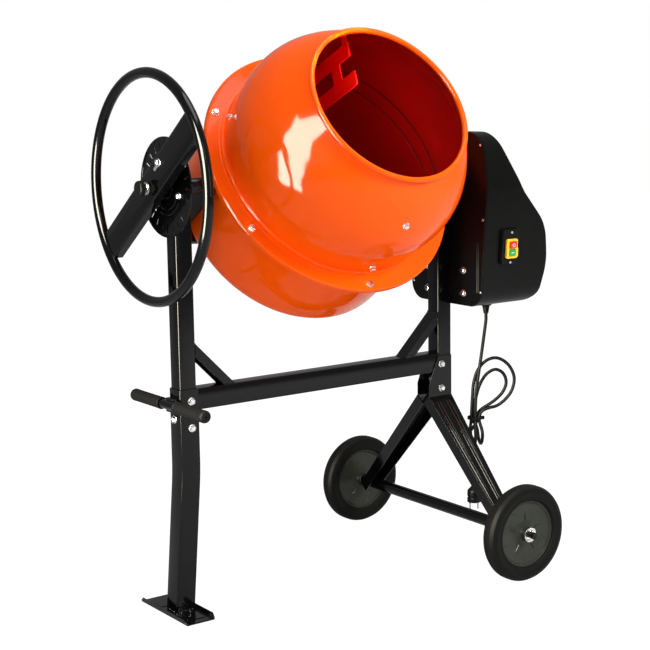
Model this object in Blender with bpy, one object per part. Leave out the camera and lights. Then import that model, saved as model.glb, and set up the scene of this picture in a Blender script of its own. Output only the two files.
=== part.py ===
"""Tilting-drum concrete mixer on a two-wheeled frame, modelled as separate pieces.

World frame: +Z up, +X along the tilt axis towards the motor, -Y towards the drum's mouth.
Everything is first placed with the drum's centre line over the origin and the wheels on z = 0.
The last step moves the whole mixer sideways, so that the origin is under the middle of its box.
"""
import math

import bmesh
import bpy
from mathutils import Matrix, Vector

# ---------------------------------------------------------------- driving sizes, metres
GAP = 0.0003                 # between pieces that touch
RUN = 0.0004                 # round a shaft or a bolt in its hole
SHEET = 0.0025               # folded steel of the frame

TILT_Z = 0.916               # height of the tilt axis
TILT = math.radians(56.2)    # drum axis from upright, mouth towards -Y

PIVOT_R = 0.0145             # shaft and tube that carry the yoke
POST = 2 * (PIVOT_R + 0.0055)                # square tube, outside, wide enough for the pivot's bush
POST_WALL = 0.002
POST_TOP = TILT_Z + 0.040
POST_FOOT = 0.385
BEAM_TOP = 0.486
BEAM_H = 0.046
BRACE_RUN = 0.085            # along the beam, to the brace's middle
BRACE_W = 0.036
BRACE_DEPTH = 0.020

LEG_TOP = 0.488
LEG_KINK_Z = 0.304           # below this the leg leans outwards
LEG_LEAN = 0.0242            # of its foot
FOOT_W = 0.067
FOOT_L = 0.197
FOOT_LIP = 0.0125
ANCHOR_R = 0.005             # hole for a ground anchor
ANCHOR_Y = -0.0525

HANDLE_Z = 0.455
HANDLE_R = 0.010
HANDLE_L = 0.296
GRIP_R = 0.0135
GRIP_L = 0.118

WHEEL_R = 0.1105
WHEEL_W = 0.042
WHEEL_Y = 0.308              # middle of the tyre
TAB_GAP = 0.0105             # from the tyre to the tab that carries the axle
AXLE_R = 0.008
AXLE_TUBE_R = 0.014
RIM_R = 0.0767

DRUM_SHEET = 0.002
DRUM_R = 0.268               # widest part of the lower half
NECK_R = DRUM_R - 0.006      # lower half just under its flange
CORNER_R = 0.041             # turned corner at the drum's bottom
CORNER_H = -0.1475           # height of that corner's centre, along the drum axis
MOUTH_R = 0.179
MOUTH_H = 0.295
BEAD_R = 0.006
SHOULDER_R = DRUM_R - 0.0015
UPPER_FOOT_R = NECK_R - 0.003    # upper half where it turns out into its flange
LOWER_FLANGE_R = NECK_R + 0.033
FLANGE_R = LOWER_FLANGE_R + 0.0073
FLANGE_H = 0.0298            # underside of the lower half's flange
SEAL_T = 0.0015
FLANGE_BOLT_R = LOWER_FLANGE_R - 0.0085
FLANGE_BOLTS = 6
FLANGE_BOLT_START = math.radians(147)

MODULE = 0.0056
PINION_TEETH = 7
FACE_W = 0.010               # of the ring gear's teeth
GEAR_R_IN = NECK_R + 0.0075
RING_TEETH = round((2 * GEAR_R_IN + FACE_W) / MODULE)

PIVOT_END_R = 0.0105         # the left shaft outside the index plate
BUSH_T = 0.0021
SHAFT_R = 0.0075             # drive shaft in the right pivot tube
ARM_X = GEAR_R_IN + FACE_W + 0.011   # inner face of a yoke arm
ARM_T = 0.012
LEFT_X = -(ARM_X + ARM_T + 0.0695)   # post centre lines
RIGHT_X = ARM_X + ARM_T + 0.0335
FOOT_X = LEFT_X - 0.032
AXLE_X = RIGHT_X - 0.0117
ARM_W = 0.050
YOKE_CORNER_R = 0.065
SPINDLE_R = 0.010

WHEEL_RING_R = 0.2355        # handwheel
WHEEL_TUBE_R = 0.011
SPOKE_W = 0.064
SPOKE_DEPTH = 0.022
SPOKE_LEAD = math.radians(-2.7)
INDEX_R = 0.105
INDEX_X = LEFT_X - POST / 2 - 0.0071     # outer face of the index plate
WHEEL_X = INDEX_X - 0.0409   # middle plane of the handwheel
KNOB_R = 0.0165
KNOB_X = WHEEL_X - 0.0275    # outer face of the knob
STEM_R = 0.008               # of the stub that carries the knob
LOCK_R = 0.087               # of the lock pin, round the tilt axis

BACK_T = 0.0025              # housing's back plate
BACK_X = RIGHT_X + POST / 2 + GAP
COVER_T = 0.0025
COVER_X = BACK_X + BACK_T + GAP
DRIVE_PULLEY_R = 0.080
MOTOR_PULLEY_R = 0.019
MOTOR_Z = TILT_Z - 0.212
MOTOR_R = 0.058
MOTOR_L = 0.120
BELT_T = 0.003
BELT_W = 0.012
PULLEY_W = 0.018
PULLEY_GAP = 0.013           # back plate to pulley
BRACKET_BOLTS = [(y, MOTOR_Z + z) for y in (-0.0655, 0.0655) for z in (-0.019, -0.073)]
BOLT_R = 0.004
DRILL_R = BOLT_R + 0.0007    # holes for the bolts
SLOTS = 12                   # of the index plate
DRUM_STEPS = 36              # facets round the drum, the handwheel and the road wheels
RING_STEPS = 48
WHEEL_STEPS = 28

SWITCH_X = COVER_X + 0.0730  # middle of the switch, and its height on the front wall
SWITCH_Z = TILT_Z - 0.1745
SWITCH_W = 0.049
SWITCH_H = 0.082
SWITCH_D = 0.010
SWITCH_COVER_D = 0.006

CORD_R = 0.004
CORD_STEP = 0.0215           # between the points of the cord's curve
CORD_TURN = math.radians(-35.5)      # of the plane that the cord's hank hangs in, from X
HOUSING_DROP = 0.315         # from the tilt axis to the housing's underside
GLAND = Vector((COVER_X + 0.0809, -0.050, TILT_Z - HOUSING_DROP))
TIE = GLAND + Vector((-0.0345, 0.0, -0.280))
PLUG_TOP = TIE + Vector((-0.0076, -0.0055, -0.147))

# Front half of the housing's outline seen along X, bottom to top: (y, height over the tilt axis, radius).
HOUSING_HALF = [(-0.125, -HOUSING_DROP, 0.042), (-0.1475, -0.027, 0.150), (-0.128, 0.092, 0.055)]
# Outer side of the cover's outline seen along Y, top to bottom: (distance from the cover's open edge,
# height over the tilt axis, radius).
COVER_SIDE = [(0.0290, 0.118, 0.0), (0.0589, 0.050, 0.060), (0.1109, -0.044, 0.120), (0.1889, -0.129, 0.110),
              (0.2009, -0.222, 0.150), (0.1789, -0.299, 0.045), (0.1159, -0.320, 0.0)]


# ---------------------------------------------------------------- helpers
def clear_scene():
    for thing in list(bpy.data.objects):
        bpy.data.objects.remove(thing)


def material(name, colour, roughness, metallic=0.0):
    made = bpy.data.materials.new(name)
    made.use_nodes = True
    shader = made.node_tree.nodes["Principled BSDF"]
    shader.inputs["Base Color"].default_value = (*colour, 1.0)
    shader.inputs["Roughness"].default_value = roughness
    shader.inputs["Metallic"].default_value = metallic
    made.diffuse_color = (*colour, 1.0)
    return made


def add_object(name, bm, finish, frame=None):
    """Turn a closed bmesh into an object, faces out, and place it by its frame."""
    bmesh.ops.remove_doubles(bm, verts=bm.verts, dist=1e-6)
    bmesh.ops.recalc_face_normals(bm, faces=bm.faces)
    if bm.calc_volume(signed=True) < 0:
        bmesh.ops.reverse_faces(bm, faces=bm.faces)
    mesh = bpy.data.meshes.new(name)
    bm.to_mesh(mesh)
    bm.free()
    made = bpy.data.objects.new(name, mesh)
    made.data.materials.append(finish)
    bpy.context.scene.collection.objects.link(made)
    made.matrix_world = frame or Matrix.Identity(4)
    mesh.shade_smooth()
    mesh.set_sharp_from_angle(angle=math.radians(35))
    return made


def combine(target, tool, operation):
    """Boolean the tool into the target for good, and drop the tool."""
    step = target.modifiers.new(operation.lower(), "BOOLEAN")
    step.operation = operation
    step.object = tool
    step.solver = "EXACT"
    bpy.context.view_layer.update()
    graph = bpy.context.evaluated_depsgraph_get()
    result = bpy.data.meshes.new_from_object(target.evaluated_get(graph))
    target.modifiers.clear()
    finish = target.data.materials[0]
    target.data = result
    target.data.materials.clear()
    target.data.materials.append(finish)
    for face in target.data.polygons:
        face.material_index = 0
    bpy.data.objects.remove(tool)
    return target


def cut(target, tool):
    return combine(target, tool, "DIFFERENCE")


def weld(target, tool):
    return combine(target, tool, "UNION")


def to_axis(axis):
    """Function that puts a 2-D point and a distance along an axis into space."""
    return {
        "X": lambda a, b, t: (t, a, b),
        "Y": lambda a, b, t: (a, t, b),
        "Z": lambda a, b, t: (a, b, t),
    }[axis]


def loft(sections):
    """Closed bmesh through loops of equally many points, with flat ends."""
    bm = bmesh.new()
    loops = [[bm.verts.new(point) for point in section] for section in sections]
    for one, two in zip(loops, loops[1:]):
        for i in range(len(one)):
            j = (i + 1) % len(one)
            bm.faces.new((one[i], one[j], two[j], two[i]))
    bm.faces.new(loops[0])
    bm.faces.new(list(reversed(loops[-1])))
    return bm


def prism(outline, axis, low, high):
    place = to_axis(axis)
    return loft([[place(a, b, t) for a, b in outline] for t in (low, high)])


def tube(outer, inner, axis, low, high):
    """Prism with a hole right through: outer and inner loops of equally many points."""
    place = to_axis(axis)
    bm = bmesh.new()
    rings = [[bm.verts.new(place(a, b, t)) for a, b in loop]
             for loop, t in ((outer, low), (outer, high), (inner, high), (inner, low))]
    for one, two in zip(rings, rings[1:] + rings[:1]):
        for i in range(len(one)):
            j = (i + 1) % len(one)
            bm.faces.new((one[i], one[j], two[j], two[i]))
    return bm


def rounded(corners, steps=4):
    """Closed outline from (a, b, radius) corners, each turned into an arc."""
    points = []
    for i, (a, b, radius) in enumerate(corners):
        here = Vector((a, b))
        back = (Vector(corners[i - 1][:2]) - here)
        on = (Vector(corners[(i + 1) % len(corners)][:2]) - here)
        if radius <= 0:
            points.append((a, b))
            continue
        half = back.angle(on) / 2
        reach = min(radius / math.tan(half), 0.49 * min(back.length, on.length))
        radius = reach * math.tan(half)
        middle = here + (back.normalized() + on.normalized()).normalized() * (radius / math.sin(half))
        first = here + back.normalized() * reach - middle
        sweep = first.angle_signed(here + on.normalized() * reach - middle)
        for k in range(steps + 1):
            points.append(tuple(middle + Matrix.Rotation(-sweep * k / steps, 2) @ first))
    return points


def rectangle(width, height, radius=0.0, middle=(0.0, 0.0), steps=2):
    w, h = width / 2, height / 2
    a, b = middle
    return rounded([(a - w, b - h, radius), (a + w, b - h, radius), (a + w, b + h, radius),
                    (a - w, b + h, radius)], steps)


def circle(radius, count, middle=(0.0, 0.0), start=0.0):
    return [(middle[0] + radius * math.cos(start + math.tau * k / count),
             middle[1] + radius * math.sin(start + math.tau * k / count)) for k in range(count)]


def turned(profile, steps, closed=False, frame=None):
    """Spin an (r, h) profile about its h axis. An open profile runs from axis to axis."""
    bm = bmesh.new()
    line = [bm.verts.new((r, 0.0, h)) for r, h in profile]
    edges = [bm.edges.new(pair) for pair in zip(line, line[1:])]
    if closed:
        edges.append(bm.edges.new((line[-1], line[0])))
    bmesh.ops.spin(bm, geom=line + edges, cent=(0, 0, 0), axis=(0, 0, 1), angle=math.tau,
                   steps=steps, use_merge=True)
    bmesh.ops.remove_doubles(bm, verts=bm.verts, dist=1e-6)
    if frame:
        bm.transform(frame)
    return bm


def cylinder(radius, low, high, steps=24, frame=None):
    return turned([(0, low), (radius, low), (radius, high), (0, high)], steps, frame=frame)


def sleeve(inner, outer, low, high, steps=24, frame=None):
    profile = [(inner, low), (outer, low), (outer, high), (inner, high)]
    return turned(profile, steps, closed=True, frame=frame)


def at(x=0.0, y=0.0, z=0.0):
    return Matrix.Translation((x, y, z))


ALONG_X = Matrix.Rotation(math.radians(90), 4, "Y")      # h axis of a turned shape to +X
ALONG_Y = Matrix.Rotation(math.radians(-90), 4, "X")     # h axis of a turned shape to +Y


def arc(radius, first, last, steps, middle=(0.0, 0.0)):
    turn = math.radians(last - first) / steps
    return [(middle[0] + radius * math.cos(math.radians(first) + turn * k),
             middle[1] + radius * math.sin(math.radians(first) + turn * k)) for k in range(steps + 1)]


def bolt(name, frame, grip, look):
    """Bolt with washer, head and nut. h = 0 is under the washer, the nut is below the grip."""
    washer, head = 0.0016, 0.0071
    outline = [(0, head), (0.0066, head), (0.0066, washer), (0.0085, washer), (0.0085, 0), (BOLT_R, 0),
               (BOLT_R, -grip), (0.0065, -grip), (0.0065, -grip - 0.0065), (0, -grip - 0.0065)]
    return add_object(name, turned(outline, 10), look["steel"], frame)


# ---------------------------------------------------------------- finishes
def finishes():
    return {
        "black": material("frame_black", (0.012, 0.012, 0.013), 0.32),
        "satin": material("housing_black", (0.016, 0.016, 0.016), 0.5),
        "orange": material("drum_orange", (0.93, 0.13, 0.012), 0.28),
        "rubber": material("rubber_black", (0.012, 0.012, 0.012), 0.75),
        "dish": material("dish_grey", (0.055, 0.058, 0.050), 0.4, 0.6),
        "steel": material("zinc_steel", (0.62, 0.62, 0.60), 0.3, 1.0),
        "iron": material("dark_iron", (0.05, 0.05, 0.05), 0.55, 0.7),
        "plastic": material("black_plastic", (0.014, 0.014, 0.014), 0.45),
        "yellow": material("switch_yellow", (0.88, 0.52, 0.03), 0.35),
        "red": material("stop_red", (0.65, 0.03, 0.02), 0.35),
        "green": material("start_green", (0.03, 0.33, 0.09), 0.35),
        "brass": material("plug_brass", (0.75, 0.70, 0.60), 0.3, 1.0),
    }


# ---------------------------------------------------------------- frame
def post(name, x, hole_r, bolts, look):
    """Square tube with a pivot hole near its top and through holes for bolts along Y."""
    half = POST / 2
    outer = rectangle(POST, POST, 0.003, (x, 0.0))
    inner = rectangle(POST - 2 * POST_WALL, POST - 2 * POST_WALL, 0.001, (x, 0.0))
    made = add_object(name, tube(outer, inner, "Z", POST_FOOT, POST_TOP), look["black"])
    hole = cylinder(hole_r, -half - 0.01, half + 0.01, 20, at(x, 0, TILT_Z) @ ALONG_X)
    cut(made, add_object("hole", hole, look["black"]))
    for bx, bz in bolts:
        drill = cylinder(DRILL_R, -half - 0.01, half + 0.01, 12, at(bx, 0, bz) @ ALONG_Y)
        cut(made, add_object("drill", drill, look["black"]))
    return made


def brace(side, look):
    """Folded channel across the corner of post and beam, open towards the corner, welded to the beam."""
    inner_face = (LEFT_X if side < 0 else RIGHT_X) - side * (POST / 2 + GAP)
    corner = Vector((inner_face, 0, BEAM_TOP - POST_WALL / 2))
    reach = BRACE_RUN
    along = Vector((-side, 0, -1)).normalized()
    out = Vector((-side, 0, 1)).normalized()
    middle = corner + Vector((-side * reach / 2, 0, reach / 2))
    half = BRACE_W / 2
    top = BRACE_DEPTH / 2
    outline = [(-half, top), (half, top), (half, -top), (half - SHEET, -top), (half - SHEET, top - SHEET),
               (-half + SHEET, top - SHEET), (-half + SHEET, -top), (-half, -top)]
    ends = []
    for start in (True, False):
        loop = []
        for y, h in outline:
            point = middle + out * h
            if start:
                length = (point.x - corner.x) / along.x
            else:
                length = (point.z - corner.z) / along.z
            point = point - along * length
            loop.append((point.x, y, point.z))
        ends.append(loop)
    return add_object("brace", loft(ends), look["black"])


def lower_leg(look, bolts):
    """Channel round three sides of the left post, kinked outwards below the beam."""
    inner = POST / 2 + GAP
    outer = inner + SHEET
    edge = POST / 2 + 0.0025
    section = [(-outer, -outer), (edge, -outer), (edge, -inner), (-inner, -inner), (-inner, inner),
               (edge, inner), (edge, outer), (-outer, outer)]
    foot = SHEET
    loops = []
    for z in (LEG_TOP, LEG_KINK_Z + 0.030, LEG_KINK_Z, LEG_KINK_Z - 0.030, foot):
        low = max(0.0, LEG_KINK_Z - z) / (LEG_KINK_Z - foot)
        lean = LEG_LEAN * low
        loops.append([(LEFT_X + a - lean, b, z) for a, b in section])
    made = add_object("lower_leg", loft(loops), look["black"])
    for bx, bz in bolts:
        drill = cylinder(DRILL_R, -outer - 0.01, outer + 0.01, 12, at(bx, 0, bz) @ ALONG_Y)
        cut(made, add_object("drill", drill, look["black"]))
    return made


def foot_plate(look):
    """Shallow tray under the leg, with both long sides turned up and an anchor hole."""
    half = FOOT_W / 2
    base = SHEET + 0.0005
    flare = 0.0035
    outline = [(-half, 0), (half, 0), (half + flare, FOOT_LIP), (half + flare - SHEET, FOOT_LIP),
               (half - SHEET, base), (-half + SHEET, base), (-half - flare + SHEET, FOOT_LIP),
               (-half - flare, FOOT_LIP)]
    outline = [(FOOT_X + a, b) for a, b in outline]
    made = add_object("foot_plate", prism(outline, "Y", -FOOT_L / 2, FOOT_L / 2), look["black"])
    high = FOOT_LIP + 0.001
    for sign in (-1, 1):
        end = FOOT_L / 2 + 0.001
        corner = [(sign * (end - 0.013), high), (sign * end, base + 0.001), (sign * end, high)]
        wedge = prism(corner, "X", FOOT_X - FOOT_W, FOOT_X + FOOT_W)
        cut(made, add_object("wedge", wedge, look["black"]))
    hole = cylinder(ANCHOR_R, -0.01, 0.02, 16, at(FOOT_X, ANCHOR_Y, 0))
    return cut(made, add_object("hole", hole, look["black"]))


def transport_handle(leg, look):
    """Bar in a saddle welded to the leg, with a grip on each end."""
    leg_face = LEFT_X - POST / 2 - GAP - SHEET
    bar_x = leg_face - GAP - 0.0035 - HANDLE_R
    frame = at(bar_x, 0, HANDLE_Z) @ ALONG_Y
    add_object("handle_bar", cylinder(HANDLE_R, -HANDLE_L / 2, HANDLE_L / 2, 16, frame), look["black"])
    inner = HANDLE_R + GAP
    end = HANDLE_L / 2 + GAP
    for name, sign in (("handle_grip_front", -1), ("handle_grip_rear", 1)):
        profile = [(inner, end - GRIP_L), (GRIP_R - 0.001, end - GRIP_L), (GRIP_R, end - GRIP_L + 0.001),
                   (GRIP_R, end - 0.002), (GRIP_R - 0.003, end + 0.003), (0.0025, end + 0.004),
                   (0.0025, end), (inner, end)]
        turn = at(bar_x, 0, HANDLE_Z) @ (ALONG_Y if sign > 0 else ALONG_Y.inverted())
        add_object(name, turned(profile, 16, closed=True, frame=turn), look["rubber"])
    low, high = HANDLE_Z - 0.015, HANDLE_Z + 0.015
    notch = arc(HANDLE_R + 2 * GAP, 90, -90, 8, (bar_x, HANDLE_Z))
    deep = leg_face + SHEET / 2
    outline = [(deep, low), (deep, high), (bar_x, high)] + notch + [(bar_x, low)]
    weld(leg, add_object("saddle", prism(outline, "Y", -0.014, 0.014), look["black"]))


def strut(name, side, bolts, look):
    """Pressed leg to one wheel: plate on the post, tapering ribbed channel, tab for the axle."""
    inner = POST / 2 + GAP
    outer = inner + SHEET
    bend_z = POST_FOOT - 0.003
    face = side * (inner + outer) / 2
    left, right = RIGHT_X - 0.050, RIGHT_X + 0.0185
    plate = [(RIGHT_X - 0.023, bend_z + 0.098), (right, bend_z + 0.098), (right, bend_z), (left, bend_z),
             (left, bend_z + 0.030)]
    low, high = sorted((side * inner, side * outer))
    made = add_object(name, prism(plate, "Y", low, high), look["black"])

    tab_y = side * (WHEEL_Y - WHEEL_W / 2 - TAB_GAP)
    tab_left, tab_right = AXLE_X - 0.020, AXLE_X + 0.020
    top = Vector((0, side * outer, bend_z + 0.0005))
    foot = Vector((0, tab_y + side * 0.0012, WHEEL_R - 0.002))
    along = (foot - top).normalized()
    inward = Vector((0, -side * abs(along.z), -abs(along.y)))
    depth = 0.028
    sections = []
    for start, xl, xr in ((top, left, right), (foot, tab_left, tab_right)):
        width = xr - xl
        ribs = [xl + width * share for share in (0.20, 0.64)]
        rise, half = 0.0018, 0.0035
        outside = [(xl, 0)]
        inside = []
        for rib in ribs:
            outside += [(rib - half, 0), (rib, -rise), (rib + half, 0)]
            inside = [(rib + half, SHEET), (rib, SHEET - rise), (rib - half, SHEET)] + inside
        outside += [(xr, 0), (xr, depth), (xr - SHEET, depth), (xr - SHEET, SHEET)]
        loop = outside + inside + [(xl + SHEET, SHEET), (xl + SHEET, depth), (xl, depth)]
        sections.append([start + Vector((x, 0, 0)) + inward * n for x, n in loop])
    weld(made, add_object("channel", loft(sections), look["black"]))

    low, high = WHEEL_R - 0.0135, WHEEL_R + 0.012
    outline = [(tab_left, high), (tab_left, low + 0.006), (tab_left + 0.006, low), (tab_right - 0.006, low),
               (tab_right, low + 0.006), (tab_right, high)]
    tab = prism(outline, "Y", *sorted((tab_y - side * 0.0013, tab_y + side * 0.0012)))
    weld(made, add_object("tab", tab, look["black"]))
    hole = cylinder(AXLE_R + RUN, -0.03, 0.03, 24, at(AXLE_X, tab_y, WHEEL_R) @ ALONG_Y)
    cut(made, add_object("hole", hole, look["black"]))
    for bx, bz in bolts:
        drill = cylinder(DRILL_R, -0.01, 0.01, 12, at(bx, face, bz) @ ALONG_Y)
        cut(made, add_object("drill", drill, look["black"]))
    return made


def wheel(label, side, look):
    frame = at(AXLE_X, side * WHEEL_Y, WHEEL_R) @ (ALONG_Y if side > 0 else ALONG_Y.inverted())
    half = WHEEL_W / 2
    r = WHEEL_R
    tread = [(RIM_R + GAP, -half + 0.006), (RIM_R + 0.005, -half + 0.001), (r - 0.010, -half),
             (r - 0.003, -half + 0.005), (r, -half + 0.013)]
    profile = tread + [(a, -b) for a, b in reversed(tread)]
    tyre = add_object("tyre_" + label, turned(profile, WHEEL_STEPS, closed=True), look["rubber"], frame)
    rim = half - 0.0075
    bore = AXLE_R + RUN
    hub = 0.0145
    profile = [(RIM_R, -rim), (RIM_R, rim), (RIM_R - 0.0035, rim), (RIM_R - 0.008, rim - 0.004),
               (0.034, rim - 0.0085), (hub, rim - 0.003), (hub, half + 0.001), (bore, half + 0.001),
               (bore, -half - 0.001), (hub, -half - 0.001), (hub, rim - 0.011), (0.034, rim - 0.0125),
               (RIM_R - 0.0045, rim - 0.006), (RIM_R - 0.0045, -rim)]
    dish = add_object("wheel_dish_" + label, turned(profile, WHEEL_STEPS, closed=True), look["dish"], frame)
    return tyre, dish


def axle(look):
    tab = WHEEL_Y - WHEEL_W / 2 - TAB_GAP
    end = WHEEL_Y + WHEEL_W / 2 + 0.017
    frame = at(AXLE_X, 0, WHEEL_R) @ ALONG_Y
    add_object("axle", cylinder(AXLE_R, -end, end, 24, frame), look["black"])
    spacer = tab - 0.018
    add_object("axle_tube", sleeve(AXLE_R + RUN, AXLE_TUBE_R, -spacer, spacer, 24, frame), look["black"])


def frame_bolts(look, leg_bolts, strut_bolts):
    reach = POST / 2 + 2 * GAP + SHEET
    for name, spots in (("leg_bolt", leg_bolts), ("strut_bolt", strut_bolts)):
        for level, (bx, bz) in zip(("upper", "lower"), spots):
            frame = at(bx, -reach, bz) @ ALONG_Y.inverted()
            bolt(name + "_" + level, frame, 2 * reach, look)


def build_frame(look):
    leg_bolts = [(LEFT_X + 0.004, LEG_TOP - 0.026), (LEFT_X + 0.004, LEG_TOP - 0.084)]
    strut_bolts = [(RIGHT_X - 0.0135, POST_FOOT + 0.0745), (RIGHT_X - 0.0135, POST_FOOT + 0.016)]
    hole = PIVOT_R + RUN + BUSH_T + GAP
    post("left_post", LEFT_X, hole, leg_bolts, look)
    post("right_post", RIGHT_X, hole, strut_bolts, look)
    outer = rectangle(POST, BEAM_H, 0.002, (0.0, BEAM_TOP - BEAM_H / 2))
    inner = rectangle(POST - 2 * POST_WALL, BEAM_H - 2 * POST_WALL, 0.001, (0.0, BEAM_TOP - BEAM_H / 2))
    ends = (LEFT_X + POST / 2 + GAP, RIGHT_X - POST / 2 - GAP)
    beam = add_object("crossbeam", tube(outer, inner, "X", *ends), look["black"])
    for side in (-1, 1):
        weld(beam, brace(side, look))
    leg = lower_leg(look, leg_bolts)
    weld(leg, foot_plate(look))
    transport_handle(leg, look)
    strut("strut_front", -1, strut_bolts, look)
    strut("strut_rear", 1, strut_bolts, look)
    axle(look)
    wheel("front", -1, look)
    wheel("rear", 1, look)
    frame_bolts(look, leg_bolts, strut_bolts)
    for name, x in (("left_bush", LEFT_X), ("right_bush", RIGHT_X)):
        frame = at(x, 0, TILT_Z) @ ALONG_X
        inner_r = PIVOT_R + RUN
        half = POST / 2 - GAP
        add_object(name, sleeve(inner_r, inner_r + BUSH_T, -half, half, 20, frame), look["plastic"])


# ---------------------------------------------------------------- drum (in the tilted frame)
def drum_lower(look):
    t = DRUM_SHEET
    foot = CORNER_H - CORNER_R
    corner = arc(CORNER_R, -90, 0, 4, (DRUM_R - CORNER_R, CORNER_H))
    wall = [(DRUM_R - 0.001, CORNER_H + 0.045), (NECK_R, -0.025), (NECK_R, FLANGE_H - 0.003),
            (NECK_R + 0.003, FLANGE_H)]
    outside = [(0, foot), (DRUM_R - CORNER_R - 0.030, foot)] + corner + wall + [(LOWER_FLANGE_R, FLANGE_H)]
    corner_in = arc(CORNER_R - t, 0, -90, 4, (DRUM_R - CORNER_R, CORNER_H))
    inside = [(LOWER_FLANGE_R, FLANGE_H + t), (NECK_R + 0.0015, FLANGE_H + t),
              (NECK_R - t, FLANGE_H - 0.0015), (NECK_R - t, -0.025),
              (DRUM_R - 0.001 - t, CORNER_H + 0.045)]
    inside += corner_in + [(DRUM_R - CORNER_R - 0.030, foot + t), (0, foot + t)]
    made = add_object("drum_lower", turned(outside + inside, DRUM_STEPS), look["orange"])
    return drill_flange(made, look)


def upper_base():
    """Underside of the upper half's flange, above the seal."""
    return FLANGE_H + DRUM_SHEET + SEAL_T + 2 * GAP


def upper_bead():
    return arc(BEAD_R, 200, -115, 5, (MOUTH_R + BEAD_R, MOUTH_H))


def upper_inside():
    """Inner wall of the upper half, from its flange to the mouth."""
    t = DRUM_SHEET
    base = upper_base()
    return [(UPPER_FOOT_R, base), (UPPER_FOOT_R - t, base + 0.004), (SHOULDER_R - t, 0.120),
            (SHOULDER_R - 0.0050, 0.1566), (SHOULDER_R - 0.0139, 0.1893), (SHOULDER_R - 0.0292, 0.2189),
            (SHOULDER_R - 0.0486, 0.2488), upper_bead()[0]]


def drum_upper(look):
    t = DRUM_SHEET
    base = upper_base()
    outside = [(SHOULDER_R - 0.0470, 0.2500), (SHOULDER_R - 0.0275, 0.2200), (SHOULDER_R - 0.0120, 0.1900),
               (SHOULDER_R - 0.0030, 0.1570), (SHOULDER_R, 0.120), (UPPER_FOOT_R, base + t + 0.006),
               (UPPER_FOOT_R + t, base + t)]
    lip = [(FLANGE_R - 0.003, base + t), (FLANGE_R, base - 0.002), (FLANGE_R, base - 0.010),
           (FLANGE_R - t, base - 0.010), (FLANGE_R - t, base - 0.002), (FLANGE_R - 0.004, base)]
    profile = upper_bead() + outside + lip + upper_inside()[:-1]
    made = add_object("drum_upper", turned(profile, DRUM_STEPS, closed=True), look["orange"])
    return drill_flange(made, look)


def drill_flange(target, look):
    """Bolt holes round the flange, as one cutter of several cylinders."""
    bm = bmesh.new()
    for k in range(FLANGE_BOLTS):
        angle = FLANGE_BOLT_START + math.tau * k / FLANGE_BOLTS
        spot = at(FLANGE_BOLT_R * math.cos(angle), FLANGE_BOLT_R * math.sin(angle), FLANGE_H)
        bmesh.ops.create_cone(bm, cap_ends=True, segments=8, radius1=DRILL_R, radius2=DRILL_R,
                              depth=0.02, matrix=spot)
    return cut(target, add_object("drills", bm, look["orange"]))


def tooth_heights():
    """Height of tooth tip and root along the drum axis, from the tilt axis upwards."""
    pitch = MODULE * PINION_TEETH / 2
    return pitch, pitch - 0.80 * MODULE, pitch + 1.12 * MODULE


def ring_gear(look):
    """Crown gear under the flange, teeth facing the pinion on the tilt axis."""
    pitch, tip, root = tooth_heights()
    top = FLANGE_H - GAP
    inner, outer = GEAR_R_IN, GEAR_R_IN + FACE_W
    step = math.tau / RING_TEETH
    shape = [(-0.25, root), (-0.115, tip), (0.115, tip), (0.25, root)]
    bm = bmesh.new()
    rows = []
    for k in range(RING_TEETH):
        for share, h in shape:
            angle = (k + share) * step
            across, up = math.cos(angle), math.sin(angle)
            rows.append([bm.verts.new((r * across, r * up, z))
                         for r, z in ((inner, top), (outer, top), (outer, h), (inner, h))])
    for one, two in zip(rows, rows[1:] + rows[:1]):
        for i in range(4):
            j = (i + 1) % 4
            bm.faces.new((one[i], one[j], two[j], two[i]))
    return add_object("ring_gear", bm, look["orange"])


def wall_at(height):
    """Radius and slope of the upper half's inner wall, in the middle of a facet."""
    wall = upper_inside()
    for (r0, h0), (r1, h1) in zip(wall, wall[1:]):
        if h0 <= height <= h1:
            slope = (r1 - r0) / (h1 - h0)
            return (r0 + slope * (height - h0)) * math.cos(math.pi / DRUM_STEPS), slope
    raise ValueError("no wall at this height")


def mixing_blade(name, angle, look):
    """Flat fork beside a plane through the drum axis, held by two feet turned against the wall."""
    thick = 0.004
    foot_w = 0.024
    side = foot_w / 2
    slant = 0.17
    lean = Vector((slant, -1)).normalized()
    across = Vector((lean.y, -lean.x))
    top_outer = Vector((SHOULDER_R - 0.0515, 0.2150))
    rail, space = 0.034, 0.036
    length_outer, length_inner = 0.166, 0.196
    link_low, link_high = 0.045, 0.078
    second = rail + space
    far = second + rail
    shape = [(0, 0), (rail, 0), (rail, link_low), (second, link_low), (second, -0.006), (far, -0.006),
             (far, length_inner), (second, length_inner), (second, link_high), (rail, link_high),
             (rail, length_outer), (0, length_outer)]
    outline = [tuple(top_outer + across * a + lean * b) for a, b in shape]
    made = add_object(name, prism(outline, "Y", -side, thick - side), look["orange"])
    for height in (0.208, 0.0625):
        radius, slope = wall_at(height)
        along = Vector((slope, 1)).normalized()
        inward = Vector((-along.y, along.x))
        wall = Vector((radius, height)) + inward * GAP
        plate = [wall - along * 0.011, wall + along * 0.011, wall + along * 0.011 + inward * 0.003,
                 wall - along * 0.011 + inward * 0.003]
        foot = prism([tuple(p) for p in plate], "Y", -side, side)
        weld(made, add_object("foot", foot, look["orange"]))
        edge = top_outer.x + (top_outer.y - height) * slant - 0.006
        low = wall - along * 0.009 + inward * 0.0015
        high = wall + along * 0.009 + inward * 0.0015
        outline = [tuple(low), tuple(high), (edge, high.y - 0.004), (edge, low.y - 0.004)]
        arm = prism(outline, "Y", -side, thick - side)
        weld(made, add_object("arm", arm, look["orange"]))
    made.matrix_world = Matrix.Rotation(angle, 4, "Z")
    return made


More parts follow.
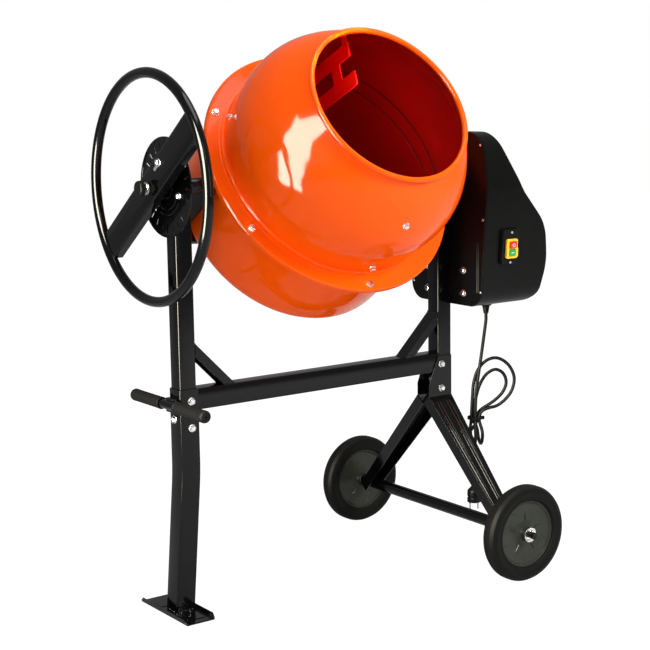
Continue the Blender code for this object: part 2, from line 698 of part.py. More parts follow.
def drum_hub(look):
    foot = CORNER_H - CORNER_R - GAP
    bore = SPINDLE_R + RUN
    profile = [(0, foot), (0.045, foot), (0.045, foot - 0.003), (0.028, foot - 0.004), (0.026, foot - 0.0195),
               (bore, foot - 0.0195), (bore, foot - 0.002), (0, foot - 0.002)]
    return add_object("drum_hub", turned(profile, 24), look["iron"])


def build_drum(look):
    made = [drum_lower(look), drum_upper(look)]
    low = FLANGE_H + DRUM_SHEET + GAP
    seal = sleeve(UPPER_FOOT_R + 0.0015, FLANGE_BOLT_R - 0.0055, low, low + SEAL_T, DRUM_STEPS)
    made.append(add_object("drum_seal", seal, look["rubber"]))
    made.append(ring_gear(look))
    facet = math.tau / DRUM_STEPS
    for k in range(2):
        made.append(mixing_blade("mixing_blade_%d" % (k + 1), 8.5 * facet + math.pi * k, look))
    made.append(drum_hub(look))
    seat = FLANGE_H + 2 * DRUM_SHEET + SEAL_T + 3 * GAP
    grip = seat - FLANGE_H + GAP
    for k in range(FLANGE_BOLTS):
        angle = FLANGE_BOLT_START + math.tau * k / FLANGE_BOLTS
        frame = Matrix.Rotation(angle, 4, "Z") @ at(FLANGE_BOLT_R, 0, seat)
        made.append(bolt("flange_bolt_%d" % (k + 1), frame, grip, look))
    return made


# ---------------------------------------------------------------- yoke and drive (in the tilted frame)
def yoke(look):
    """Flat bar bent round the drum's bottom, from pivot to pivot, with the pin the drum turns on."""
    inner_r = YOKE_CORNER_R
    outer_r = inner_r + ARM_T
    middle = (ARM_X - inner_r, CORNER_H + 0.0025)
    top = 0.018
    right_in = [(ARM_X, top)] + arc(inner_r, 0, -90, 8, middle)
    left_in = [(-x, z) for x, z in reversed(right_in)]
    right_out = [(ARM_X + ARM_T, top)] + arc(outer_r, 0, -90, 8, middle)
    left_out = [(-x, z) for x, z in reversed(right_out)]
    outline = right_out + left_out + list(reversed(left_in)) + list(reversed(right_in))
    made = add_object("yoke", prism(outline, "Y", -ARM_W / 2, ARM_W / 2), look["black"])
    hole = cylinder(SHAFT_R + RUN, ARM_X - 0.01, ARM_X + ARM_T + 0.01, 24, ALONG_X)
    cut(made, add_object("hole", hole, look["black"]))
    floor = middle[1] - outer_r
    hub_bore = CORNER_H - CORNER_R - GAP - 0.002
    profile = [(0, hub_bore - 0.001), (SPINDLE_R - 0.001, hub_bore - 0.001),
               (SPINDLE_R, hub_bore - 0.002), (SPINDLE_R, floor + 0.001), (0.0155, floor + 0.001),
               (0.0155, floor - 0.010), (0, floor - 0.010)]
    return weld(made, add_object("spindle", turned(profile, 20), look["black"]))


def pivot_shaft_left(look):
    start = -(ARM_X + ARM_T + GAP)
    post_face = LEFT_X + POST / 2 + GAP + 0.0005
    knob_seat = KNOB_X + 0.003
    web = WHEEL_X - 0.0035
    collar = PIVOT_R + 0.002
    profile = [(0, start), (collar, start), (collar, post_face), (PIVOT_R, post_face),
               (PIVOT_R, INDEX_X - 0.002), (PIVOT_END_R, INDEX_X - 0.003), (PIVOT_END_R, web - 0.0003),
               (STEM_R, web - 0.0008), (STEM_R, knob_seat), (0, knob_seat)]
    return add_object("pivot_shaft_left", turned(profile, 20, frame=ALONG_X), look["black"])


def pivot_tube_right(look):
    start = ARM_X + ARM_T + GAP
    post_face = RIGHT_X - POST / 2 - GAP - 0.0005
    inner = SHAFT_R + RUN
    collar = PIVOT_R + 0.0045
    profile = [(inner, start), (collar, start), (collar, post_face), (PIVOT_R, post_face),
               (PIVOT_R, RIGHT_X + POST / 2 + 0.010), (inner, RIGHT_X + POST / 2 + 0.010)]
    return add_object("pivot_tube_right", turned(profile, 20, closed=True, frame=ALONG_X), look["black"])


def pulley_faces():
    low = BACK_X + BACK_T + PULLEY_GAP
    return low, low + PULLEY_W


def drive_parts(look):
    """Shaft, pinion and large pulley, which turn together inside the right pivot."""
    low, high = pulley_faces()
    pinion_in = GEAR_R_IN - 0.0005
    pinion_out = GEAR_R_IN + FACE_W + 0.0005
    collar_x = pinion_out + GAP
    arm_gap = ARM_X - GAP - 0.0005
    shaft = [(0, pinion_in - 0.003), (SHAFT_R, pinion_in - 0.003), (SHAFT_R, collar_x), (0.0115, collar_x),
             (0.0115, arm_gap), (SHAFT_R, arm_gap), (SHAFT_R, high + GAP), (0.011, high + GAP),
             (0.011, high + 0.006), (SHAFT_R, high + 0.006), (SHAFT_R, high + 0.009), (0, high + 0.009)]
    made = [add_object("drive_shaft", turned(shaft, 16, frame=ALONG_X), look["steel"])]

    pitch, tip, root = tooth_heights()
    reach = pitch + 0.80 * MODULE
    valley = pitch - 1.15 * MODULE
    pitch_step = math.tau / PINION_TEETH
    outline = []
    for k in range(PINION_TEETH):
        for share, r in ((-0.30, valley), (-0.175, pitch), (-0.075, reach), (0.075, reach), (0.175, pitch),
                         (0.30, valley)):
            angle = math.radians(90) + (k + 0.5 + share) * pitch_step
            outline.append((r * math.cos(angle), r * math.sin(angle)))
    pinion = add_object("pinion", prism(outline, "X", pinion_in, pinion_out), look["iron"])
    bore = cylinder(SHAFT_R + GAP, pinion_in - 0.01, pinion_out + 0.01, 24, ALONG_X)
    made.append(cut(pinion, add_object("bore", bore, look["iron"])))

    r = DRIVE_PULLEY_R
    bore_r = SHAFT_R + GAP
    mid = (low + high) / 2
    rim = r + 0.002
    profile = [(bore_r, low), (rim, low), (rim, mid - BELT_W / 2 - 0.0008), (r, mid - BELT_W / 2 - 0.0004),
               (r, mid + BELT_W / 2 + 0.0004), (rim, mid + BELT_W / 2 + 0.0008), (rim, high),
               (r - 0.010, high), (r - 0.012, mid + 0.003), (0.018, mid + 0.003), (0.016, high),
               (bore_r, high)]
    made.append(add_object("drive_pulley", turned(profile, 24, closed=True, frame=ALONG_X), look["plastic"]))
    return made


def build_yoke(look):
    return [yoke(look), pivot_shaft_left(look), pivot_tube_right(look)] + drive_parts(look)


# ---------------------------------------------------------------- handwheel (in the tilted frame)
def build_handwheel(look):
    lead = Matrix.Rotation(SPOKE_LEAD, 4, "X")
    ring_profile = circle(WHEEL_TUBE_R, 8, (WHEEL_RING_R, 0.0))
    frame = at(WHEEL_X) @ ALONG_X
    ring_body = turned(ring_profile, RING_STEPS, closed=True, frame=frame)
    ring = add_object("handwheel_ring", ring_body, look["black"])

    half = SPOKE_W / 2
    face = WHEEL_X - 0.0035
    back = face + SPOKE_DEPTH
    outline = [(face, -half), (face, half), (back, half), (back, half - SHEET), (face + SHEET, half - SHEET),
               (face + SHEET, -half + SHEET), (back, -half + SHEET), (back, -half)]
    reach = (WHEEL_RING_R - WHEEL_TUBE_R) * math.cos(math.pi / RING_STEPS) - GAP
    spoke = add_object("handwheel_spoke", prism(outline, "Z", -reach - 0.02, reach + 0.02), look["black"])
    keep = cylinder(reach, face - 0.02, back + 0.02, RING_STEPS, ALONG_X)
    combine(spoke, add_object("keep", keep, look["black"]), "INTERSECT")
    pin = cylinder(0.005, face + SHEET / 2, INDEX_X - 0.0005, 16, at(z=-LOCK_R) @ ALONG_X)
    weld(spoke, add_object("pin", pin, look["black"]))
    hole = cylinder(PIVOT_END_R + RUN, face - 0.02, back + 0.02, 24, ALONG_X)
    cut(spoke, add_object("hole", hole, look["black"]))
    spoke.matrix_world = lead

    inner = KNOB_X + 0.003 - GAP
    knob_back = KNOB_X + 0.0115
    profile = [(0, KNOB_X), (KNOB_R - 0.004, KNOB_X), (KNOB_R, KNOB_X + 0.0025), (KNOB_R, knob_back - 0.001),
               (KNOB_R - 0.001, knob_back), (STEM_R + GAP, knob_back), (STEM_R + GAP, inner), (0, inner)]
    knob = add_object("lock_knob", turned(profile, 20, frame=ALONG_X), look["plastic"])

    wire, mean, turns = 0.0009, 0.0125, 2.5
    start, end = knob_back + wire + GAP, face - wire - GAP
    curve = bpy.data.curves.new("lock_spring", "CURVE")
    curve.dimensions = "3D"
    curve.bevel_depth = wire
    curve.bevel_resolution = 1
    curve.use_fill_caps = True
    line = curve.splines.new("POLY")
    count = int(turns * 12) + 1
    line.points.add(count - 1)
    for k, point in enumerate(line.points):
        angle = math.tau * turns * k / (count - 1)
        x = start + (end - start) * k / (count - 1)
        point.co = (x, mean * math.cos(angle), mean * math.sin(angle), 1)
    spring = bpy.data.objects.new("lock_spring", curve)
    curve.materials.append(look["steel"])
    bpy.context.scene.collection.objects.link(spring)
    return [ring, spoke, knob, spring]


def index_plate(look):
    """Round plate on the left post with a ring of slots for the lock pin."""
    back = LEFT_X - POST / 2 - GAP
    face = INDEX_X
    thick = SHEET
    bore = PIVOT_R + RUN
    profile = [(bore, back), (0.062, back), (0.066, face + thick), (INDEX_R - 0.004, face + thick),
               (INDEX_R, face + thick - 0.0015), (INDEX_R, face - 0.0025), (INDEX_R - 0.002, face - 0.0025),
               (INDEX_R - 0.002, face - 0.0005), (INDEX_R - 0.004, face), (bore, face)]
    disc = turned(profile, 40, closed=True, frame=at(z=TILT_Z) @ ALONG_X)
    made = add_object("index_plate", disc, look["black"])
    bm = bmesh.new()
    for k in range(SLOTS):
        turn = at(z=TILT_Z) @ Matrix.Rotation(math.tau * k / SLOTS, 4, "X")
        slot = turn @ at(face, 0, LOCK_R) @ Matrix.Diagonal((0.02, 0.0055, 0.018, 1))
        bmesh.ops.create_cube(bm, size=1, matrix=slot)
    return cut(made, add_object("slots", bm, look["black"]))


# ---------------------------------------------------------------- motor housing
def housing_outline(inset=0.0):
    half = [(y + inset, TILT_Z + up, max(r - inset, 0.004)) for y, up, r in HOUSING_HALF]
    half[0] = (half[0][0], half[0][1] + inset, half[0][2])
    half[-1] = (half[-1][0], half[-1][1] - inset, half[-1][2])
    whole = half + [(-y, z, r) for y, z, r in reversed(half)]
    return rounded(whole, 5)


def cover_outline(inset, back):
    side = [(COVER_X + out - inset * 1.2, TILT_Z + up, r) for out, up, r in COVER_SIDE]
    side[-1] = (side[-1][0], side[-1][1] - 0.02, 0)
    return rounded([(back, side[0][1], 0)] + side + [(back, side[-1][1], 0)], 5)


def housing_cover(look):
    """Deep shell: the back plate's outline drawn out to the side outline, then hollowed."""
    shells = []
    for name, inset, start in (("housing_cover", 0.0, COVER_X), ("hollow", COVER_T, COVER_X - 0.02)):
        block = add_object(name, prism(housing_outline(inset), "X", start, COVER_X + 0.25), look["satin"])
        side = prism(cover_outline(inset, start - 0.01), "Y", -0.2, 0.2)
        shells.append(combine(block, add_object("side", side, look["satin"]), "INTERSECT"))
    made = cut(*shells)
    hole = cylinder(0.0078, -0.02, 0.02, 20, Matrix.Translation(GLAND))
    return cut(made, add_object("hole", hole, look["satin"]))


def wall_frame():
    """Frame on the cover's front wall at the switch: X along, Y up the wall, Z out of it."""
    (y0, low, _), (y1, high, _) = HOUSING_HALF[:2]
    up = Vector((0, y1 - y0, high - low)).normalized()
    along = Vector((1, 0, 0))
    out = along.cross(up)
    y = y0 + (y1 - y0) * (SWITCH_Z - TILT_Z - low) / (high - low)
    turn = Matrix((along, up, out)).transposed().to_4x4()
    return at(SWITCH_X, y, SWITCH_Z) @ turn


def switch_parts(look):
    frame = wall_frame()
    block = prism(rectangle(SWITCH_W, SWITCH_H, 0.003), "Z", GAP, SWITCH_D)
    box = add_object("switch_box", block, look["plastic"])
    pocket = prism(rectangle(0.029, 0.043, 0.0, (0.0, -0.0030)), "Z", 0.0025, SWITCH_D + 0.01)
    cut(box, add_object("pocket", pocket, look["plastic"]))
    low = SWITCH_D + GAP
    top = low + SWITCH_COVER_D
    outline = rounded([(-0.0175, -0.0260, 0.003), (0.0130, -0.0260, 0.003), (0.0175, -0.0210, 0.002),
                       (0.0175, -0.0040, 0.002), (0.0150, 0.0, 0.001), (0.0150, 0.0195, 0.003),
                       (-0.0175, 0.0195, 0.003)], 2)
    cover = add_object("switch_cover", prism(outline, "Z", low, top), look["yellow"])
    buttons = []
    for name, middle, finish, proud in (("stop_button", (0.0, 0.0060), "red", 0.0035),
                                        ("start_button", (0.0, -0.0125), "green", 0.001)):
        window = prism(rectangle(0.0216, 0.0166, 0.002, middle), "Z", low - 0.01, top + 0.01)
        cut(cover, add_object("window", window, look["yellow"]))
        flange_low = low - GAP - 0.0030
        stem = rectangle(0.0204, 0.0154, 0.0015, middle)
        flange = rectangle(0.0230, 0.0172, 0.0015, middle)
        cap = rectangle(0.0188, 0.0138, 0.0015, middle)
        levels = [(flange, flange_low), (flange, low - 2 * GAP), (stem, low - 2 * GAP),
                  (stem, top + proud - 0.0008), (cap, top + proud)]
        loops = [[(a, b, h) for a, b in loop] for loop, h in levels]
        buttons.append(add_object(name, loft(loops), look[finish]))
    for made in [box, cover] + buttons:
        made.matrix_world = frame


def belt(look):
    """Flat belt round both pulleys, with a small clearance to each."""
    low, high = pulley_faces()
    mid = (low + high) / 2
    lean = math.degrees(math.asin((DRIVE_PULLEY_R - MOTOR_PULLEY_R) / (TILT_Z - MOTOR_Z)))

    def loop(offset):
        big = arc(DRIVE_PULLEY_R + offset, -lean, 180 + lean, 28, (0.0, TILT_Z))
        small = arc(MOTOR_PULLEY_R + offset, 180 + lean, 360 - lean, 10, (0.0, MOTOR_Z))
        return big + small

    ring = tube(loop(RUN + BELT_T), loop(RUN), "X", mid - BELT_W / 2, mid + BELT_W / 2)
    return add_object("belt", ring, look["rubber"])


def motor_parts(look):
    back_face = BACK_X + BACK_T
    low, high = pulley_faces()
    plate_x = high + 0.0045
    plate_t = 0.004
    axis = at(0, 0, MOTOR_Z) @ ALONG_X
    ys = [y for y, z in BRACKET_BOLTS]
    zs = [z for y, z in BRACKET_BOLTS]
    outline = rounded([(min(ys) - 0.013, min(zs) - 0.013, 0.010), (max(ys) + 0.013, min(zs) - 0.013, 0.010),
                       (max(ys) + 0.013, max(zs) + 0.013, 0.010), (0.045, MOTOR_Z + 0.050, 0.012),
                       (-0.045, MOTOR_Z + 0.050, 0.012), (min(ys) - 0.013, max(zs) + 0.013, 0.010)], 3)
    bracket = add_object("motor_bracket", prism(outline, "X", plate_x, plate_x + plate_t), look["iron"])
    for y, z in BRACKET_BOLTS:
        tail, seat, head = BACK_X - 0.010, back_face + GAP, plate_x + plate_t / 2
        profile = [(0, tail), (BOLT_R, tail), (BOLT_R, seat), (2 * BOLT_R, seat), (2 * BOLT_R, head),
                   (0, head)]
        stud = turned(profile, 12, frame=at(0, y, z) @ ALONG_X)
        weld(bracket, add_object("stud", stud, look["iron"]))
    hole = cylinder(0.012, plate_x - 0.01, plate_x + plate_t + 0.01, 24, axis)
    cut(bracket, add_object("hole", hole, look["iron"]))

    start = plate_x + plate_t + GAP
    end = start + MOTOR_L
    shaft_bore = 0.006 + RUN
    profile = [(0, start + 0.014), (shaft_bore, start + 0.014), (shaft_bore, start), (MOTOR_R - 0.012, start),
               (MOTOR_R - 0.002, start + 0.006), (MOTOR_R - 0.002, start + 0.026), (MOTOR_R, start + 0.027),
               (MOTOR_R, end - 0.030), (MOTOR_R - 0.003, end - 0.029), (MOTOR_R - 0.003, end - 0.006),
               (MOTOR_R - 0.010, end), (0, end)]
    add_object("motor", turned(profile, 20, frame=axis), look["iron"])

    r = MOTOR_PULLEY_R
    mid = (low + high) / 2
    rim = r + 0.002
    groove = BELT_W / 2 + 0.0004
    profile = [(0, low - 0.004), (0.006, low - 0.004), (0.006, low), (rim, low), (rim, mid - groove - 0.0004),
               (r, mid - groove), (r, mid + groove), (rim, mid + groove + 0.0004), (rim, high), (0.006, high),
               (0.006, start + 0.013), (0, start + 0.013)]
    add_object("motor_pulley", turned(profile, 16, frame=axis), look["steel"])


def build_housing(look):
    outline = housing_outline(0.0005)
    plate = add_object("housing_back", prism(outline, "X", BACK_X, BACK_X + BACK_T), look["satin"])
    hole = cylinder(PIVOT_R + 0.0006, BACK_X - 0.01, BACK_X + 0.02, 24, at(z=TILT_Z) @ ALONG_X)
    cut(plate, add_object("hole", hole, look["satin"]))
    for y, z in BRACKET_BOLTS:
        drill = cylinder(DRILL_R, BACK_X - 0.01, BACK_X + 0.02, 12, at(0, y, z) @ ALONG_X)
        cut(plate, add_object("drill", drill, look["satin"]))
    housing_cover(look)
    motor_parts(look)
    belt(look)
    switch_parts(look)
    low = -GAP
    profile = [(0, 0.0065), (0.0072, 0.0065), (0.0072, low), (0.0130, low), (0.0130, -0.008),
               (0.0100, -0.0095), (0.0085, -0.012), (0.0062, -0.028), (0, -0.028)]
    add_object("cable_gland", turned(profile, 16, frame=Matrix.Translation(GLAND)), look["plastic"])


# ---------------------------------------------------------------- cord
def cord_route():
    """Points of the cord in metres, from the gland to the plug, chosen by hand."""
    turn = Matrix.Rotation(CORD_TURN, 3, "Z")

    def hank(across, deep, up):
        return TIE + turn @ Vector((across, deep, up)) / 1000

    lead = [GLAND + Vector((0, 0, -0.0286)), GLAND + Vector((0, 0, -0.045)), hank(24, 16, 206),
            hank(16, 1.5, 159), hank(8.5, -8.5, 115), hank(3, -9.5, 75), hank(0.5, -9, 36), hank(0, -9, 0)]
    first_drop = [hank(0, -11.5, -10), hank(-1, -18, -21), hank(-1, -24.5, -32), hank(-1, -27, -43),
                  hank(-2, -19.5, -61.5), hank(-4, 0, -70), hank(-6, 19.5, -61.5), hank(-8, 27, -43),
                  hank(-9, 23, -30), hank(-9.5, 12.2, -21), hank(-9.5, 2, -13), hank(-9, -2, 0)]
    outer_loop = [hank(-8, -1, 20), hank(-6, 0, 54), hank(-3, 1, 86), hank(7, 1.5, 117), hank(28, 1.5, 140),
                  hank(54, 1, 145.5), hank(80, 0, 129), hank(94, -1, 99), hank(89, -2, 68), hank(73, -3, 45),
                  hank(53, -4, 30), hank(34, -5, 25), hank(21, -5, 20), hank(12.7, -5, 12), hank(9.5, -5, 0)]
    second_drop = [hank(10.5, -7.5, -10.5), hank(13, -14, -19), hank(15, -20.5, -27.5), hank(16, -23, -38),
                   hank(15, -15.5, -56.5), hank(13, 3, -64), hank(11, 21.5, -56.5), hank(9, 29, -38),
                   hank(6, 26, -27), hank(2, 19, -19), hank(-3, 11, -11), hank(-4, 8.5, 0)]
    inner_loop = [hank(-3, 8, 18), hank(3, 8, 47), hank(12, 9, 78), hank(28, 10, 104), hank(50, 10, 116),
                  hank(69, 9, 106), hank(76, 8, 84), hank(68, 8, 61), hank(51, 7, 43), hank(34, 6, 31),
                  hank(18, 6, 21), hank(9.2, 5.5, 12), hank(6, 5.5, 0)]
    tail = [hank(2.5, 3, -15), hank(-8, -1, -28), hank(-18, -3, -41), hank(-23, -4, -58), hank(-18, -6, -86),
            hank(-8, -8, -112)]
    end = [PLUG_TOP + Vector((0, 0, 0.018)), PLUG_TOP + Vector((0, 0, 0.0003))]
    return lead + first_drop + outer_loop + second_drop + inner_loop + tail + end


def smooth_line(route, step):
    """Evenly spaced points on a smooth curve through the route's points."""
    fine = []
    ends = [2 * route[0] - route[1]] + route + [2 * route[-1] - route[-2]]
    for p0, p1, p2, p3 in zip(ends, ends[1:], ends[2:], ends[3:]):
        for k in range(12):
            t = k / 12
            fine.append(0.5 * ((2 * p1) + (p2 - p0) * t + (2 * p0 - 5 * p1 + 4 * p2 - p3) * t * t
                               + (3 * p1 - p0 - 3 * p2 + p3) * t ** 3))
    fine.append(route[-1])
    length = sum((b - a).length for a, b in zip(fine, fine[1:]))
    count = round(length / step)
    spaced, walked, want = [fine[0]], 0.0, length / count
    for a, b in zip(fine, fine[1:]):
        part = (b - a).length
        while walked + part >= want * len(spaced) and len(spaced) < count:
            spaced.append(a.lerp(b, (want * len(spaced) - walked) / part))
        walked += part
    return spaced + [fine[-1]]


def build_cord(look):
    points = smooth_line(cord_route(), CORD_STEP)
    curve = bpy.data.curves.new("cord", "CURVE")
    curve.dimensions = "3D"
    curve.bevel_depth = CORD_R
    curve.bevel_resolution = 2
    curve.use_fill_caps = True
    line = curve.splines.new("POLY")
    line.points.add(len(points) - 1)
    for point, place in zip(line.points, points):
        point.co = (*place, 1)
    curve.materials.append(look["plastic"])
    bpy.context.scene.collection.objects.link(bpy.data.objects.new("cord", curve))

    frame = Matrix.Translation(PLUG_TOP)
    profile = [(0, -GAP), (0.0052, -GAP), (0.0070, -0.022), (0.0085, -0.0235), (0.0150, -0.0300),
               (0.0165, -0.0330), (0.0165, -0.0440), (0.0150, -0.0470), (0.0165, -0.0490),
               (0.0165, -0.0600), (0, -0.0600)]
    plug = add_object("plug", turned(profile, 16, frame=frame), look["plastic"])
    across = Matrix.Rotation(CORD_TURN, 3, "Z") @ Vector((0.0095, 0, 0))
    for sign in (-1, 1):
        pin = cylinder(0.0024, -0.078, -0.058, 12, Matrix.Translation(PLUG_TOP + sign * across))
        weld(plug, add_object("pin", pin, look["brass"]))
    tie_frame = Matrix.Translation(TIE)
    add_object("cord_tie", sleeve(0.0170, 0.0185, -0.003, 0.003, 24, tie_frame), look["plastic"])


# ---------------------------------------------------------------- assembly
def tilt_pieces(pieces):
    """Hang the pieces built in the tilted frame on an empty that lies on the tilt axis."""
    carrier = bpy.data.objects.new("tilt_axis", None)
    bpy.context.scene.collection.objects.link(carrier)
    carrier.matrix_world = at(z=TILT_Z) @ Matrix.Rotation(TILT, 4, "X")
    for piece in pieces:
        piece.parent = carrier


def centre_on_footprint(loose):
    """Move everything level, so that the origin is under the middle of the mixer's box."""
    bpy.context.view_layer.update()
    graph = bpy.context.evaluated_depsgraph_get()
    xs, ys = [], []
    for thing in bpy.data.objects:
        if thing.type not in {"MESH", "CURVE"} or thing.name in loose:
            continue
        mesh = thing.evaluated_get(graph).to_mesh()
        for vertex in mesh.vertices:
            place = thing.matrix_world @ vertex.co
            xs.append(place.x)
            ys.append(place.y)
    shift = Vector((-(min(xs) + max(xs)) / 2, -(min(ys) + max(ys)) / 2, 0))
    for thing in bpy.data.objects:
        if thing.parent is None:
            thing.matrix_world = Matrix.Translation(shift) @ thing.matrix_world


def main():
    clear_scene()
    look = finishes()
    build_frame(look)
    index_plate(look)
    build_housing(look)
    tilt_pieces(build_drum(look) + build_yoke(look) + build_handwheel(look))
    build_cord(look)
    centre_on_footprint({"cord", "plug", "cord_tie"})


main()
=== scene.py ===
"""Looks of the tilting-drum concrete mixer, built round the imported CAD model."""
from math import asin, atan, atan2, cos, hypot, pi, radians, sin, tan, tau

import bmesh
import bpy
from mathutils import Matrix, Vector


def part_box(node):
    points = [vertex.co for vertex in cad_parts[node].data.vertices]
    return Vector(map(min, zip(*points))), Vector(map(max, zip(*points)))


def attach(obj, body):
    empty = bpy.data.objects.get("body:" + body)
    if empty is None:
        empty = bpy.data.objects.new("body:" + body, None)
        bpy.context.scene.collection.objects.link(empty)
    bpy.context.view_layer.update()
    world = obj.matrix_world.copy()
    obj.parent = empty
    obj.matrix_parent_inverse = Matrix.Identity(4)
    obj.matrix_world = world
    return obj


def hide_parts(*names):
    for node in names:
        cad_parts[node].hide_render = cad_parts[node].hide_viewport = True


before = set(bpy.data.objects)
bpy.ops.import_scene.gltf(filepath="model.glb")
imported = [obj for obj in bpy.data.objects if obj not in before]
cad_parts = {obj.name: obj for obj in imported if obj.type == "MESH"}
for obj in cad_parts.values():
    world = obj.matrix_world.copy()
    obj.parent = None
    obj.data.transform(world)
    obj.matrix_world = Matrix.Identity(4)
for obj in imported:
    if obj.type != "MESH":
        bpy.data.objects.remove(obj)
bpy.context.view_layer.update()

# ---------------------------------------------------------------- sizes, metres
TILT_Z = 0.916               # height of the tilt axis
TILT = radians(56.2)    # drum axis from upright, mouth forward
POST = 0.04
LEFT_X = -0.372
RIGHT_X = 0.336
POST_TOP = 0.9545
POST_FOOT = 0.385            # lower end of both posts
BEAM_TOP = 0.486
BEAM_H = 0.046
LEG_TOP = 0.488
KINK_Z = 0.304               # below this the leg leans outwards
LEAN = 0.0242                # and this far, at the floor
SHEET = 0.0025               # folded steel of the stand
DRUM_SHEET = 0.002
FLANGE_H = 0.0298
FLANGE_R = 0.3023
UPPER_BASE = 0.0339          # underside of the upper half's flange
MOUTH_R = 0.179
MOUTH_H = 0.295
BEAD_R = 0.006
WHEEL_R = 0.1105
WHEEL_W = 0.042
WHEEL_Y = 0.308
AXLE_X = RIGHT_X - 0.0117
HANDLE_X = -0.4086
HANDLE_Z = 0.455
WHEEL_X = -0.44             # handwheel's middle plane
RING_R = 0.2355
RING_TUBE_R = 0.011
SPOKE_LEAD = radians(-2.7)    # spoke from the drum axis
INDEX_X = -0.3991            # outer face of the index plate
BACK_X = 0.3563              # inner face of the housing's back plate
COVER_X = 0.3591             # edge of the housing's cover
PIVOT_R = 0.0145             # tilt shaft and tube, in their bushes
PIVOT_BORE = 0.0149
AXLE_R = 0.008
AXLE_BORE = 0.0084
DRUM_FLOOR = -0.1885         # underside of the drum's closed end, on the drum's own axis
FOOT_X = -0.404              # middle of the foot plate
GAP = 0.0003                 # between the faces of neighbours

# edges steeper than these are rounded by a bevel, or shaded sharp
BEVEL_ABOVE = radians(38)
SHARP_ABOVE = radians(32)

low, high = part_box("left_post")
ORIGIN = Vector(((low.x + high.x) / 2 - LEFT_X, (low.y + high.y) / 2, 0))
BASE = Matrix.Translation(ORIGIN)
TILTED = BASE @ Matrix.Translation((0, 0, TILT_Z)) @ Matrix.Rotation(TILT, 4, "X")
ALONG_X = Matrix.Rotation(radians(90), 4, "Y")
ALONG_Y = Matrix.Rotation(radians(-90), 4, "X")


# ---------------------------------------------------------------- materials
def look(name, colour, rough, metal=0.0, vary=0.1, blotch=7.0, grain=0.06, grain_scale=420.0,
         rough_vary=0.07, specular=0.5, dust=0.0):
    """Principled material with uneven colour, uneven gloss, fine bump and a little dust on top."""
    made = bpy.data.materials.new(name)
    made.use_nodes = True
    tree = made.node_tree
    shader = tree.nodes["Principled BSDF"]
    shader.inputs["Metallic"].default_value = metal
    shader.inputs["Specular IOR Level"].default_value = specular

    place = tree.nodes.new("ShaderNodeTexCoord")

    def node(kind, **inputs):
        new = tree.nodes.new(kind)
        for key, value in inputs.items():
            new.inputs[key.replace("_", " ")].default_value = value
        return new

    def noise(scale, detail=4.0):
        new = node("ShaderNodeTexNoise", Scale=scale, Detail=detail, Roughness=0.55)
        tree.links.new(place.outputs["Object"], new.inputs["Vector"])
        return new.outputs["Fac"]

    mix = tree.nodes.new("ShaderNodeMix")
    mix.data_type = "RGBA"
    dark = [c * (1 - vary) for c in colour]
    light = [min(1.0, c * (1 + vary)) for c in colour]
    mix.inputs["A"].default_value = (*dark, 1)
    mix.inputs["B"].default_value = (*light, 1)
    tree.links.new(noise(blotch), mix.inputs["Factor"])
    colour_out = mix.outputs["Result"]
    if dust:
        geometry = tree.nodes.new("ShaderNodeNewGeometry")
        split = tree.nodes.new("ShaderNodeSeparateXYZ")
        tree.links.new(geometry.outputs["Normal"], split.inputs["Vector"])
        upward = node("ShaderNodeMapRange", From_Min=0.3, To_Max=dust)
        tree.links.new(split.outputs["Z"], upward.inputs["Value"])
        patch = tree.nodes.new("ShaderNodeMath")
        patch.operation = "MULTIPLY"
        tree.links.new(upward.outputs["Result"], patch.inputs[0])
        tree.links.new(noise(23.0), patch.inputs[1])
        over = tree.nodes.new("ShaderNodeMix")
        over.data_type = "RGBA"
        over.inputs["B"].default_value = (0.42, 0.4, 0.37, 1)
        tree.links.new(colour_out, over.inputs["A"])
        tree.links.new(patch.outputs["Value"], over.inputs["Factor"])
        colour_out = over.outputs["Result"]
    tree.links.new(colour_out, shader.inputs["Base Color"])

    gloss = node("ShaderNodeMapRange", To_Min=max(0.02, rough - rough_vary), To_Max=rough + rough_vary)
    tree.links.new(noise(blotch * 3.1), gloss.inputs["Value"])
    tree.links.new(gloss.outputs["Result"], shader.inputs["Roughness"])

    bump = node("ShaderNodeBump", Strength=grain, Distance=0.001)
    tree.links.new(noise(grain_scale, 2.0), bump.inputs["Height"])
    tree.links.new(bump.outputs["Normal"], shader.inputs["Normal"])
    return made


ORANGE = look("orange_paint", (0.93, 0.092, 0.002), 0.09, vary=0.035, grain=0.03, grain_scale=160,
              rough_vary=0.04, specular=0.16)
# Painted shade: the drum's inside takes a darker, redder tone than the outside orange, standing in for the
# shade and red bounce light within the drum.
INSIDE_SHADE = look("inside_painted_shade", (0.4, 0.002, 0.001), 0.3, vary=0.12, grain=0.05, grain_scale=200,
              specular=0.25)
# Painted shade: the blades get a deeper red than the drum's orange, for the shade they stand in inside the
# drum.
BLADE_SHADE = look("blade_paint", (0.95, 0.009, 0.003), 0.34, vary=0.08, grain=0.05, specular=0.3)
BLACK = look("frame_paint", (0.0018, 0.0018, 0.0022), 0.12, vary=0.3, grain=0.05, grain_scale=220,
             rough_vary=0.04, specular=0.24, dust=0.003)
SATIN = look("housing_paint", (0.003, 0.003, 0.0028), 0.3, vary=0.3, grain=0.08, grain_scale=520,
             specular=0.12, dust=0.004)
ZINC = look("zinc_plate", (0.8, 0.8, 0.79), 0.22, metal=1.0, vary=0.12, blotch=90, grain=0.05,
            grain_scale=900)
IRON = look("dark_iron", (0.045, 0.045, 0.045), 0.5, metal=0.6, vary=0.2, grain=0.25, grain_scale=300)
TYRE = look("tyre_rubber", (0.0055, 0.0055, 0.005), 0.5, vary=0.3, grain=0.16, grain_scale=700,
            specular=0.08, dust=0.02)
RUBBER = look("grip_rubber", (0.006, 0.006, 0.006), 0.6, vary=0.25, grain=0.2, grain_scale=900,
              specular=0.1, dust=0.02)
DISH = look("dish_paint", (0.024, 0.026, 0.02), 0.25, vary=0.25, blotch=30, grain=0.06, grain_scale=260,
            specular=0.2)
